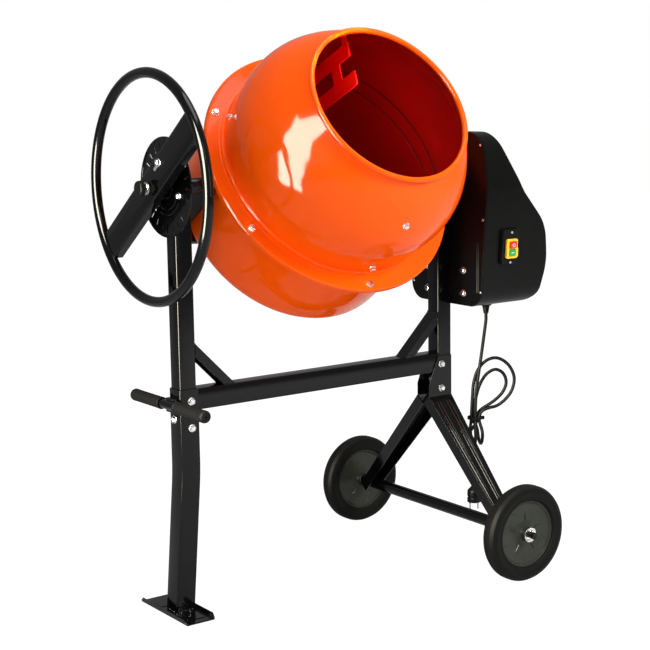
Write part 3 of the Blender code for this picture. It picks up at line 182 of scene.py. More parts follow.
PLASTIC = look("black_plastic", (0.0055, 0.0055, 0.0055), 0.4, vary=0.25, grain=0.12, grain_scale=1100,
               specular=0.1)
CORD = look("cord_sheath", (0.007, 0.007, 0.007), 0.45, vary=0.2, grain=0.08, grain_scale=800,
            specular=0.14)
YELLOW = look("switch_yellow", (0.86, 0.5, 0.012), 0.3, vary=0.05, grain=0.05, grain_scale=900)
RED = look("stop_red", (0.62, 0.018, 0.014), 0.3, vary=0.06, grain=0.05, grain_scale=900)
GREEN = look("start_green", (0.012, 0.3, 0.06), 0.3, vary=0.06, grain=0.05, grain_scale=900)
WHITE = look("button_mark", (0.72, 0.74, 0.72), 0.4, vary=0.04, grain=0.03)
PIN = look("plug_pin", (0.7, 0.69, 0.66), 0.2, metal=1.0, vary=0.08, blotch=60, grain=0.03)


# ---------------------------------------------------------------- mesh helpers
def put(name, data):
    """New object in the scene."""
    made = bpy.data.objects.new(name, data)
    bpy.context.scene.collection.objects.link(made)
    return made


def at(x=0.0, y=0.0, z=0.0):
    return Matrix.Translation((x, y, z))


def turned(angle, axis="Z"):
    return Matrix.Rotation(angle, 4, axis)


def add(name, bm, finish, body, nodes=(), where=BASE, bevel=0.0, inner=None):
    """Piece from a bmesh: placed, shaded, given its material, and riding on its body."""
    bmesh.ops.remove_doubles(bm, verts=bm.verts, dist=1e-6)
    bmesh.ops.recalc_face_normals(bm, faces=bm.faces)
    if inner:
        for face in bm.faces:
            face.material_index = 1 if inner(face) else 0
    bm.transform(where)
    mesh = bpy.data.meshes.new(name)
    bm.to_mesh(mesh)
    bm.free()
    mesh.materials.append(finish)
    # Inner faces take the inside material, which is painted shade.
    if inner:
        mesh.materials.append(INSIDE_SHADE)
    made = put(name, mesh)
    mesh.shade_smooth()
    if bevel:
        edge = made.modifiers.new("edge", "BEVEL")
        edge.width = bevel
        edge.segments = 3
        edge.limit_method = "ANGLE"
        edge.angle_limit = BEVEL_ABOVE
        edge.harden_normals = True
    else:
        mesh.set_sharp_from_angle(angle=SHARP_ABOVE)
    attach(made, body)
    if nodes:
        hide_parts(*nodes)
    return made


def combine(target, tool, operation="DIFFERENCE"):
    """Boolean a bmesh's shape into a bmesh, and return the result as a new bmesh."""
    pair = []
    for name, bm in (("target", target), ("tool", tool)):
        bmesh.ops.recalc_face_normals(bm, faces=bm.faces)
        mesh = bpy.data.meshes.new(name)
        bm.to_mesh(mesh)
        bm.free()
        pair.append(put(name, mesh))
    step = pair[0].modifiers.new("step", "BOOLEAN")
    step.operation = operation
    step.object = pair[1]
    step.solver = "EXACT"
    bpy.context.view_layer.update()
    graph = bpy.context.evaluated_depsgraph_get()
    result = bpy.data.meshes.new_from_object(pair[0].evaluated_get(graph))
    made = bmesh.new()
    made.from_mesh(result)
    for thing in pair:
        bpy.data.objects.remove(thing)
    return made


def join(*shapes):
    """One bmesh with the faces of several."""
    whole = bmesh.new()
    for shape in shapes:
        mesh = bpy.data.meshes.new("part")
        shape.to_mesh(mesh)
        shape.free()
        whole.from_mesh(mesh)
        bpy.data.meshes.remove(mesh)
    return whole


def moved(bm, where):
    bm.transform(where)
    return bm


def loft(sections, closed=False):
    """Skin over loops of points, with flat ends unless it closes on itself."""
    bm = bmesh.new()
    loops = [[bm.verts.new(point) for point in section] for section in sections]
    pairs = list(zip(loops, loops[1:])) + ([(loops[-1], loops[0])] if closed else [])
    for one, two in pairs:
        for i in range(len(one)):
            j = (i + 1) % len(one)
            bm.faces.new((one[i], one[j], two[j], two[i]))
    if not closed:
        bm.faces.new(loops[0])
        bm.faces.new(list(reversed(loops[-1])))
    return bm


PLACE = {"X": lambda a, b, t: (t, a, b), "Y": lambda a, b, t: (a, t, b), "Z": lambda a, b, t: (a, b, t)}


def prism(outline, axis, start, end):
    """Outline pushed along an axis from start to end."""
    return loft([[PLACE[axis](a, b, t) for a, b in outline] for t in (start, end)])


def tube(outer, hollow, axis, start, end):
    """Open pipe between two outlines."""
    corners = ((outer, start), (outer, end), (hollow, end), (hollow, start))
    return loft([[PLACE[axis](a, b, t) for a, b in line] for line, t in corners], closed=True)


def lathe(profile, steps=96, closed=False, turn=None):
    """Spin an (r, h) profile about its h axis; points on the axis become poles."""
    bm = bmesh.new()
    rings = []
    for r, h in profile:
        if r < 1e-7:
            rings.append([bm.verts.new((0, 0, h))])
        else:
            rings.append([bm.verts.new((r * cos(tau * k / steps), r * sin(tau * k / steps), h))
                          for k in range(steps)])
    pairs = list(zip(rings, rings[1:])) + ([(rings[-1], rings[0])] if closed else [])
    for one, two in pairs:
        for i in range(steps):
            j = (i + 1) % steps
            loop = [one[i % len(one)], one[j % len(one)], two[j % len(two)], two[i % len(two)]]
            bm.faces.new(list(dict.fromkeys(loop)))
    if turn:
        bm.transform(turn)
    return bm


def rounded(corners, steps=5, closed=True):
    """Outline from (a, b, radius) corners, each turned into an arc."""
    points = []
    count = len(corners)
    for i, (a, b, radius) in enumerate(corners):
        end = not closed and i in (0, count - 1)
        if radius <= 0 or end:
            points.append((a, b))
            continue
        here = Vector((a, b))
        back = Vector(corners[i - 1][:2]) - here
        on = Vector(corners[(i + 1) % count][:2]) - here
        half = back.angle(on) / 2
        reach = min(radius / tan(half), 0.49 * min(back.length, on.length))
        radius = reach * tan(half)
        middle = here + (back.normalized() + on.normalized()).normalized() * (radius / sin(half))
        first = here + back.normalized() * reach - middle
        sweep = first.angle_signed(here + on.normalized() * reach - middle)
        for k in range(steps + 1):
            points.append(tuple(middle + Matrix.Rotation(-sweep * k / steps, 2) @ first))
    return points


def rectangle(width, height, radius=0.0, middle=(0.0, 0.0), steps=4):
    w, h = width / 2, height / 2
    a, b = middle
    return rounded([(a - w, b - h, radius), (a + w, b - h, radius), (a + w, b + h, radius),
                    (a - w, b + h, radius)], steps)


def circle(radius, count, middle=(0.0, 0.0)):
    return [(middle[0] + radius * cos(tau * k / count), middle[1] + radius * sin(tau * k / count))
            for k in range(count)]


def arc(radius, first, last, steps, middle=(0.0, 0.0)):
    turn = radians(last - first) / steps
    return [(middle[0] + radius * cos(radians(first) + turn * k),
             middle[1] + radius * sin(radians(first) + turn * k)) for k in range(steps + 1)]


def cylinder(radius, start, end, steps=32, turn=None, edge=0.0):
    if edge:
        profile = [(0, start), (radius - edge, start), (radius, start + edge), (radius, end - edge),
                   (radius - edge, end), (0, end)]
    else:
        profile = [(0, start), (radius, start), (radius, end), (0, end)]
    return lathe(profile, steps, turn=turn)


def hex_bolt(grip=None, head=0.0065, washer=0.0085, thread=0.004, tail=0.009):
    """Hex head with a chamfered top and a washer; h = 0 is under the washer. A grip adds the nut."""
    corner = head / cos(radians(30))
    seat, top, nut_seat = 0.0016, 0.0071, 0.0014
    hexagon = [(0, top), (head - 0.0008, top), (corner, top - 0.0011), (corner, seat), (0, seat)]
    crown = [(0, top + 0.0003), (head - 0.0022, top + 0.0003), (head - 0.0014, top - 0.0003),
             (0, top - 0.0003)]
    ring = [(0, 0), (washer, 0), (washer, 0.0012), (washer - 0.0005, seat), (0, seat)]
    parts = [lathe(hexagon, 6), lathe(crown, 24), lathe(ring, 32)]
    if grip:
        low = -grip - nut_seat
        parts += [cylinder(thread, -grip - tail, 0.001, 16, edge=0.0006),
                  lathe([(0, -grip), (washer, -grip), (washer, low), (0, low)], 32),
                  lathe([(0, low), (corner, low), (corner, low - 0.0054), (head - 0.0006, low - 0.0064),
                         (0, low - 0.0064)], 6)]
    return join(*parts)


def screw_head(radius=0.004, height=0.0022):
    """Small pan head with a cross recess cut from short grooves."""
    profile = rounded([(0, height, 0), (radius, height, radius * 0.7), (radius, 0, 0), (0, 0, 0)], 4,
                      False)
    long, short = radius * 1.1, radius * 0.28
    grooves = [prism(rectangle(*size), "Z", height * 0.45, height + 0.001)
               for size in ((long, short), (short, long))]
    return combine(lathe(profile, 24), join(*grooves))


def bead(start, end, radius=0.0024, ripple=0.0033):
    """Weld bead: a thin roll between two points with the ripples of its passes."""
    start, end = Vector(start), Vector(end)
    length = (end - start).length
    steps = max(6, int(length / ripple * 4))
    turn = (end - start).to_track_quat("Z", "Y").to_matrix().to_4x4()
    profile = [(0, 0)]
    for k in range(steps + 1):
        share = k / steps
        taper = min(1, 8 * share, 8 * (1 - share)) ** 0.5 if 0 < share < 1 else 0.3
        profile.append((radius * taper * (0.86 + 0.14 * cos(tau * share * length / ripple)),
                        share * length))
    return lathe(profile + [(0, length)], 10, turn=Matrix.Translation(start) @ turn)


# ---------------------------------------------------------------- stand
def post(side, x, nodes):
    """Square tube with its bush hole and its end cap."""
    outer = rectangle(POST, POST, 0.0035, (x, 0.0))
    hollow = rectangle(POST - 0.004, POST - 0.004, 0.0015, (x, 0.0))
    shape = tube(outer, hollow, "Z", POST_FOOT, POST_TOP)
    hole = cylinder(0.0173, -0.03, 0.03, 48, at(x, 0, TILT_Z) @ ALONG_X)
    add("post_" + side, combine(shape, hole), BLACK, "frame", nodes)
    lid = prism(rectangle(POST - 0.0006, POST - 0.0006, 0.003), "Z", 0, 0.0018)
    plug = prism(rectangle(POST - 0.0046, POST - 0.0046, 0.002), "Z", -0.01, 0.001)
    add("post_cap_" + side, moved(join(lid, plug), at(x, 0, POST_TOP)), PLASTIC, "frame", bevel=0.0006)


def brace(side):
    """Folded channel between a post and the cross beam, cut to both, and its weld beads."""
    inner_face = (LEFT_X if side < 0 else RIGHT_X) - side * (POST / 2 + GAP)
    corner = Vector((inner_face, 0, BEAM_TOP - 0.001))
    reach = 0.085
    along = Vector((-side, 0, -1)).normalized()
    out = Vector((-side, 0, 1)).normalized()
    middle = corner + Vector((-side * reach / 2, 0, reach / 2))
    half, top = 0.018, 0.01
    outline = [(-half, top), (half, top), (half, -top), (half - SHEET, -top), (half - SHEET, top - SHEET),
               (-half + SHEET, top - SHEET), (-half + SHEET, -top), (-half, -top)]
    ends = []
    for at_post in (True, False):
        loop = []
        for y, h in outline:
            point = middle + out * h
            length = (point.x - corner.x) / along.x if at_post else (point.z - corner.z) / along.z
            point = point - along * length
            loop.append((point.x, y, point.z))
        ends.append(loop)
    welds = []
    for sign, near, far in ((-1, 0, 7), (1, 1, 2)):
        shift = Vector((0, sign * 0.0006, 0.0006))
        for end in (ends[1], ends[0]):
            welds.append(bead(Vector(end[near]) + shift, Vector(end[far]) + shift, 0.0019))
    a, b = Vector(ends[1][0]), Vector(ends[1][1])
    welds.append(bead(a + Vector((-side * 0.001, 0.002, 0.001)),
                      b + Vector((-side * 0.001, -0.002, 0.001)), 0.0019))
    return loft(ends), welds


def stand():
    post("left", LEFT_X, ("left_post",))
    post("right", RIGHT_X, ("right_post",))
    outer = rectangle(POST, BEAM_H, 0.003, (0.0, BEAM_TOP - BEAM_H / 2))
    hollow = rectangle(POST - 0.004, BEAM_H - 0.004, 0.001, (0.0, BEAM_TOP - BEAM_H / 2))
    start, end = LEFT_X + POST / 2 + GAP, RIGHT_X - POST / 2 - GAP
    shape = tube(outer, hollow, "X", start, end)
    add("cross_beam", shape, BLACK, "frame", ("crossbeam",))
    welds = []
    for name, side in (("corner_brace_left", -1), ("corner_brace_right", 1)):
        channel, beads = brace(side)
        add(name, channel, BLACK, "frame", bevel=0.0006)
        welds += beads
    for x in (start + 0.0005, end - 0.0005):
        for y in (-POST / 2 + 0.0004, POST / 2 - 0.0004):
            welds.append(bead((x, y, BEAM_TOP - BEAM_H + 0.003), (x, y, BEAM_TOP - 0.003), 0.0022))
    add("frame_welds", join(*welds), BLACK, "frame")


def leg():
    """Folded leg on the left post with its handle saddle, foot plate, ribs, welds and rivets."""
    inner = POST / 2 + GAP
    outer = inner + SHEET
    edge = POST / 2 + 0.0025
    bend = 0.0022
    section = rounded([(-outer, -outer, bend + SHEET * 0.5), (edge, -outer, 0), (edge, -inner, 0),
                       (-inner, -inner, bend * 0.5), (-inner, inner, bend * 0.5), (edge, inner, 0),
                       (edge, outer, 0), (-outer, outer, bend + SHEET * 0.5)], 4)
    foot = SHEET
    levels = [LEG_TOP] + [KINK_Z + 0.03 * (1 - k / 4) for k in range(9)] + [foot]
    loops = []
    for z in levels:
        t = (KINK_Z + 0.03 - z) / 0.06
        full = LEAN / (KINK_Z - foot)
        if t <= 0:
            lean = 0.0
        elif t < 1:
            lean = full * 0.06 * t * t / 2
        else:
            lean = full * (KINK_Z - z)
        loops.append([(LEFT_X + a - lean, b, z) for a, b in section])
    shape = loft(loops)
    leg_face = LEFT_X - POST / 2 - GAP - SHEET
    low_z, high_z = HANDLE_Z - 0.015, HANDLE_Z + 0.015
    notch = arc(0.0106, 90, -90, 16, (HANDLE_X, HANDLE_Z))
    saddle = prism([(leg_face + 0.001, low_z), (leg_face + 0.001, high_z),
                    (HANDLE_X, high_z)] + notch + [(HANDLE_X, low_z)], "Y", -0.014, 0.014)
    add("lower_leg_channel", shape, BLACK, "frame", ("lower_leg",), bevel=0.0005)
    add("handle_saddle", saddle, BLACK, "frame", bevel=0.0008)

    half, base, flare, lip = 0.0335, 0.003, 0.0035, 0.0125
    x = FOOT_X
    outline = rounded([(x - half, 0, 0.0015), (x + half, 0, 0.0015), (x + half + flare, lip, 0),
                       (x + half + flare - SHEET, lip, 0), (x + half - SHEET, base, 0.001),
                       (x - half + SHEET, base, 0.001), (x - half - flare + SHEET, lip, 0),
                       (x - half - flare, lip, 0)], 3)
    plate = prism(outline, "Y", -0.0985, 0.0985)
    cutters = [cylinder(0.005, -0.01, 0.02, 32, at(x, -0.0525, 0))]
    for sign in (-1, 1):
        cutters.append(prism([(sign * 0.0865, lip + 0.001), (sign * 0.0995, base + 0.001),
                              (sign * 0.0995, lip + 0.001)], "X", x - 0.06, x + 0.06))
    for cutter in cutters:
        plate = combine(plate, cutter)
    add("foot_plate", plate, BLACK, "frame", bevel=0.0005)
    raised = [moved(prism(rectangle(0.046, 0.05, 0.006), "Z", 0, 0.0012), at(x + 0.001, -0.0545, base)),
              moved(prism(rectangle(0.046, 0.05, 0.006), "Z", 0, 0.0012), at(x + 0.001, 0.056, base))]
    raised[0] = combine(raised[0], cylinder(0.0065, -0.01, 0.02, 32, at(x, -0.0525, 0)))
    add("foot_ribs", join(*raised), BLACK, "frame", bevel=0.0004)
    leg_x = LEFT_X - LEAN
    seams = []
    for sign in (-1, 1):
        y = sign * (outer + 0.0004)
        seams.append(bead((leg_x - outer + 0.003, y, base + 0.001),
                          (leg_x + edge - 0.002, y, base + 0.001), 0.0026))
    seams.append(bead((leg_x - outer - 0.0004, -0.018, base + 0.001),
                      (leg_x - outer - 0.0004, 0.018, base + 0.001), 0.0026))
    add("foot_welds", join(*seams), BLACK, "frame")
    pair = [moved(screw_head(0.0042, 0.003), at(x - 0.006, -0.03, base)),
            moved(screw_head(0.0042, 0.003), at(x + 0.014, -0.033, base))]
    add("foot_rivets", join(*pair), BLACK, "frame")


def handle():
    """Transport handle: a bar with a ribbed grip at each end."""
    turn = at(HANDLE_X, 0, HANDLE_Z) @ ALONG_Y
    add("handle_rod", cylinder(0.01, -0.148, 0.148, 48, turn, edge=0.001), BLACK, "frame",
        ("handle_bar",))
    for name, sign, node in (("grip_front", -1, "handle_grip_front"),
                             ("grip_rear", 1, "handle_grip_rear")):
        start, end = 0.0303, 0.1483
        profile = [(0.0103, start), (0.0128, start), (0.0135, start + 0.0008), (0.0135, start + 0.0045),
                   (0.0128, start + 0.0055)]
        ribs = 22
        for k in range(ribs):
            h = start + 0.01 + k * (end - start - 0.022) / ribs
            profile += [(0.0132, h), (0.0128, h + 0.0012), (0.0128, h + 0.002), (0.0132, h + 0.0032)]
        profile += [(0.0135, end - 0.01), (0.0135, end - 0.003), (0.0128, end), (0.0108, end + 0.0025),
                    (0.006, end + 0.0036), (0.0027, end + 0.004), (0.0025, end + 0.0034),
                    (0.0025, end + GAP), (0.0103, end + GAP)]
        flip = turn if sign > 0 else at(HANDLE_X, 0, HANDLE_Z) @ ALONG_Y.inverted()
        add(name, lathe(profile, 48, closed=True, turn=flip), RUBBER, "frame", (node,))


def strut(side):
    """Pressed strut: plate on the post, leaning ribbed channel, tab at the axle."""
    inner = POST / 2 + GAP
    outer = inner + SHEET
    bend_z = POST_FOOT - 0.003
    edges = sorted((side * inner, side * outer))
    left, right = RIGHT_X - 0.05, RIGHT_X + 0.0185
    tab_left, tab_right = AXLE_X - 0.02, AXLE_X + 0.02
    outline = rounded([(RIGHT_X - 0.023, bend_z + 0.098, 0.003), (right, bend_z + 0.098, 0.003),
                       (right, bend_z, 0), (left, bend_z, 0), (left, bend_z + 0.03, 0.004)], 3)
    plate = prism(outline, "Y", *edges)
    tab_y = side * (WHEEL_Y - WHEEL_W / 2 - 0.0105)
    top = Vector((0, side * outer, bend_z + 0.0005))
    foot = Vector((0, tab_y + side * 0.0012, WHEEL_R - 0.002))
    along = (foot - top).normalized()
    inward = Vector((0, -side * abs(along.z), -abs(along.y)))
    depth = 0.028
    sections = []
    stations = [(0.0, 0.0), (0.035, 0.0), (0.055, 1.0), (0.9, 1.0), (0.94, 0.0), (1.0, 0.0)]
    for share, height in stations:
        start = top.lerp(foot, share)
        xl = left + (tab_left - left) * share
        xr = right + (tab_right - right) * share
        width = xr - xl
        rise, half = 0.0036 * height, 0.0034
        outside = [(xl, 0)]
        inside = []
        for place in (0.17, 0.29, 0.6, 0.74):
            rib = xl + width * place
            bump = [(rib - half, 0), (rib - half * 0.45, -rise * 0.8), (rib, -rise),
                    (rib + half * 0.45, -rise * 0.8), (rib + half, 0)]
            outside += bump
            inside = [(x, n + SHEET) for x, n in reversed(bump)] + inside
        outside += [(xr, 0), (xr, depth), (xr - SHEET, depth), (xr - SHEET, SHEET)]
        loop = outside + inside + [(xl + SHEET, SHEET), (xl + SHEET, depth), (xl, depth)]
        sections.append([start + Vector((x, 0, 0)) + inward * n for x, n in loop])
    channel = loft(sections)
    low, high = WHEEL_R - 0.0135, WHEEL_R + 0.012
    outline = rounded([(tab_left, low, 0.008), (tab_right, low, 0.008), (tab_right, high, 0),
                       (tab_left, high, 0)], 5)
    tab = prism(outline, "Y", *sorted((tab_y - side * 0.0013, tab_y + side * 0.0012)))
    tab = combine(tab, cylinder(AXLE_BORE, -0.03, 0.03, 32, at(AXLE_X, tab_y, WHEEL_R) @ ALONG_Y))
    label = "front" if side < 0 else "rear"
    add("strut_plate_" + label, plate, BLACK, "frame", ("strut_" + label,), bevel=0.0006)
    add("strut_channel_" + label, channel, BLACK, "frame", bevel=0.0006)
    add("strut_tab_" + label, tab, BLACK, "frame", bevel=0.0005)


# distance from the axle, half width at the foot and at the top, height: all along one rib of the dish
DISH_RIB = ((0.03, 0.0022, 0.0008, 0.001), (0.043, 0.0022, 0.0008, 0.0014),
            (0.052, 0.0012, 0.0004, -0.0008))


def wheel(label, side):
    """Road wheel: tyre, pressed dish with its marks, washers and split pin."""
    turn = at(AXLE_X, side * WHEEL_Y, WHEEL_R) @ (ALONG_Y if side > 0 else ALONG_Y.inverted())
    half, r, rim = WHEEL_W / 2, WHEEL_R, 0.0767
    body = "wheel_" + label
    tread = rounded([(rim + GAP, -half + 0.006, 0), (rim + 0.004, -half + 0.0012, 0.003),
                     (rim + 0.009, -half + 0.0022, 0.002), (r - 0.014, -half, 0.006),
                     (r - 0.005, -half + 0.0035, 0.006), (r - 0.0002, -half + 0.012, 0.006),
                     (r, -0.002, 0)], 5, False)
    groove = [(r, -0.0045), (r - 0.0012, -0.0035), (r - 0.0012, -0.0015)]
    side_line = [p for p in tread[:-1]] + groove
    profile = side_line + [(a, -b) for a, b in reversed(side_line)]
    add("tyre_" + label + "_rubber", lathe(profile, 128, closed=True, turn=turn), TYRE, body,
        ("tyre_" + label,))

    face = half - 0.0075
    outer_side = rounded([(rim, 0, 0), (rim, face, 0.0015), (rim - 0.0032, face, 0.0015),
                          (rim - 0.0075, face - 0.005, 0.004), (0.046, face - 0.0072, 0.02),
                          (0.03, face - 0.0078, 0.006), (0.021, face - 0.005, 0.005),
                          (0.0165, face - 0.0035, 0.002), (0.014, half - 0.001, 0.0015),
                          (AXLE_BORE, half + 0.0006, 0)], 5, False)
    inner_side = [(r, -h) for r, h in reversed(outer_side)]
    add("dish_" + label, lathe(outer_side + inner_side, 96, closed=True, turn=turn), DISH, body,
        ("wheel_dish_" + label,))
    marks = []
    for k in range(10):
        flip = turned(pi * (k // 5), "X")
        spin = flip @ turned(tau * k / 5 + 0.3)
        rib = loft([[(reach, -low, -0.0015), (reach, low, -0.0015), (reach, high, rise),
                     (reach, -high, rise)] for reach, low, high, rise in DISH_RIB])
        marks.append(moved(rib, turn @ spin @ at(0, 0, face - 0.0066)))
        dome = rounded([(0, 0.0014, 0), (0.0026, 0.0012, 0.001), (0.0036, -0.001, 0), (0, -0.001, 0)], 3,
                       False)
        pip = lathe(dome, 20)
        marks.append(moved(pip, turn @ spin @ turned(tau / 10) @ at(0.0615, 0, face - 0.0062)))
    add("dish_marks_" + label, join(*marks), DISH, body, bevel=0.0003)

    washer = lathe([(0.0086, half + 0.0015), (0.0165, half + 0.0015), (0.0168, half + 0.0019),
                    (0.0168, half + 0.0032), (0.0164, half + 0.0036), (0.0086, half + 0.0036)], 48,
                   closed=True, turn=turn)
    add("axle_washer_" + label, washer, ZINC, "frame")
    inside = lathe([(0.0086, -half - 0.0036), (0.0168, -half - 0.0036), (0.0168, -half - 0.0016),
                    (0.0086, -half - 0.0016)], 48, closed=True, turn=turn)
    add("axle_washer_inner_" + label, inside, ZINC, "frame")
    pin = split_pin()
    pin.transform(turn @ at(0, 0, half + 0.0065) @ turned(radians(62)))
    add("split_pin_" + label, pin, ZINC, "frame")


def wire(points, radius, steps=10):
    """Round bar of even thickness along a line of points."""
    points = [Vector(p) for p in points]
    up = Vector((0, 0, 1))
    loops = []
    for i, point in enumerate(points):
        along = (points[min(i + 1, len(points) - 1)] - points[max(i - 1, 0)]).normalized()
        side = along.cross(up)
        if side.length < 0.1:
            side = along.cross(Vector((1, 0, 0)))
        side.normalize()
        up = side.cross(along).normalized()
        loops.append([point + side * radius * cos(tau * k / steps) + up * radius * sin(tau * k / steps)
                      for k in range(steps)])
    return loft(loops)


def split_pin():
    """Cotter through the axle end: an eye on one side and two legs bent apart on the other."""
    eye = [(*point, 0) for point in arc(0.0032, 150, -150, 20, (0.0132, 0))]
    one = [eye[0], (0.0095, 0.0011, 0), (0, 0.001, 0), (-0.0095, 0.001, 0), (-0.0125, 0.003, 0),
           (-0.015, 0.0068, 0)]
    two = [eye[-1], (0.0095, -0.0011, 0), (0, -0.001, 0), (-0.0095, -0.001, 0), (-0.012, -0.0034, 0),
           (-0.0135, -0.0075, 0)]
    return join(wire(eye, 0.001), wire(one, 0.001), wire(two, 0.001))


def axle():
    turn = at(AXLE_X, 0, WHEEL_R) @ ALONG_Y
    end = WHEEL_Y + WHEEL_W / 2 + 0.017
    shape = cylinder(AXLE_R, -end, end, 48, turn, edge=0.0012)
    add("axle_bar", shape, BLACK, "frame", ("axle",))
    spacer = 0.2505
    outer = [(AXLE_BORE, -spacer), (0.0136, -spacer), (0.014, -spacer + 0.0005), (0.014, spacer - 0.0005),
             (0.0136, spacer), (AXLE_BORE, spacer)]
    add("axle_spacer", lathe(outer, 48, closed=True, turn=turn), BLACK, "frame", ("axle_tube",))


def frame_bolts():
    """Through bolts of the leg and the struts, and one bolt head on the side of each."""
    reach = POST / 2 + 0.0006 + SHEET
    spots = {"leg_bolt_upper": (LEFT_X + 0.004, LEG_TOP - 0.026),
             "leg_bolt_lower": (LEFT_X + 0.004, LEG_TOP - 0.084),
             "strut_bolt_upper": (RIGHT_X - 0.0135, POST_FOOT + 0.0745),
             "strut_bolt_lower": (RIGHT_X - 0.0135, POST_FOOT + 0.016)}
    for node, (x, z) in spots.items():
        turn = at(x, -reach, z) @ ALONG_Y.inverted() @ turned(0.35)
        add(node + "_zinc", moved(hex_bolt(2 * reach, tail=0.0075), turn), ZINC, "frame", (node,))
    for name, x, z in (("leg_bolt_side", LEFT_X - POST / 2 - GAP - SHEET, 0.422),
                       ("strut_bolt_side", RIGHT_X - POST / 2, 0.42)):
        turn = at(x, 0.0025, z) @ ALONG_X.inverted()
        add(name, moved(hex_bolt(), turn), ZINC, "frame")


def index_plate():
    """Dished plate on the left post with its ring of slots, holes, ridges and bolts."""
    back = LEFT_X - POST / 2 - GAP
    face, t, r = INDEX_X, SHEET, 0.105
    profile = rounded([(PIVOT_BORE, back, 0), (0.062, back, 0.001), (0.067, face + t, 0.001),
                       (r - 0.004, face + t, 0.002), (r, face + t - 0.002, 0.001), (r, face - 0.0025, 0),
                       (r - 0.0022, face - 0.0025, 0), (r - 0.0022, face - 0.0004, 0.001),
                       (r - 0.005, face, 0.001), (PIVOT_BORE, face, 0)], 4)
    plate = lathe(profile, 128, closed=True, turn=ALONG_X)
    cutters = []
    for k in range(24):
        spin = turned(tau * k / 24, "X")
        outline = rectangle(0.0042, 0.018, 0.0019, (0, 0.087))
        cutters.append(moved(prism(outline, "X", face - 0.01, face + 0.0062), spin))
    for radius, count, start, size in ((0.069, 6, 0.25, 0.0042), (0.037, 6, 0.0, 0.003)):
        for k in range(count):
            angle = tau * (k + start) / count
            cutters.append(cylinder(size, face - 0.01, face + 0.0045, 24,
                                    at(0, radius * cos(angle), radius * sin(angle)) @ ALONG_X))
    plate = combine(plate, join(*cutters))
    add("index_plate_dish", moved(plate, at(z=TILT_Z)), BLACK, "frame", ("index_plate",))
    ridges = []
    for radius, first, last in ((0.024, 0, 360), (0.047, 200, 330), (0.058, 210, 320), (0.047, 20, 70)):
        steps = max(8, int((last - first) / 6))
        line = [(face - 0.0004, radius * cos(radians(first + (last - first) * k / steps)),
                 radius * sin(radians(first + (last - first) * k / steps))) for k in range(steps + 1)]
        ridges.append(wire(line, 0.0013, 8))
    for k in range(3):
        angle = atan2(-0.037, 0.039) + tau * k / 3
        spot = at(face, 0.054 * cos(angle), 0.054 * sin(angle)) @ ALONG_X.inverted()
        add("index_bolt_%d" % (k + 1), moved(hex_bolt(head=0.005, washer=0.0072), at(z=TILT_Z) @ spot),
            ZINC, "frame")
    add("index_ridges", moved(join(*ridges), at(z=TILT_Z)), BLACK, "frame")


def bushes():
    for name, x in (("left_bush", LEFT_X), ("right_bush", RIGHT_X)):
        profile = [(PIVOT_BORE, -0.0197), (0.0168, -0.0197), (0.017, -0.0192), (0.017, 0.0192),
                   (0.0168, 0.0197), (PIVOT_BORE, 0.0197)]
        add(name + "_sleeve", lathe(profile, 48, closed=True, turn=at(x, 0, TILT_Z) @ ALONG_X), PLASTIC,
            "frame", (name,))


# ---------------------------------------------------------------- drum
def on_wall(bolt, angle, radius, height, slope, side=1):
    """Bolt standing on the drum wall, square to its slope: side 1 outside, -1 inside."""
    lean = turned(side * pi / 2 + atan(slope), "Y")
    return moved(bolt, turned(radians(angle)) @ at(radius, 0, height) @ lean)


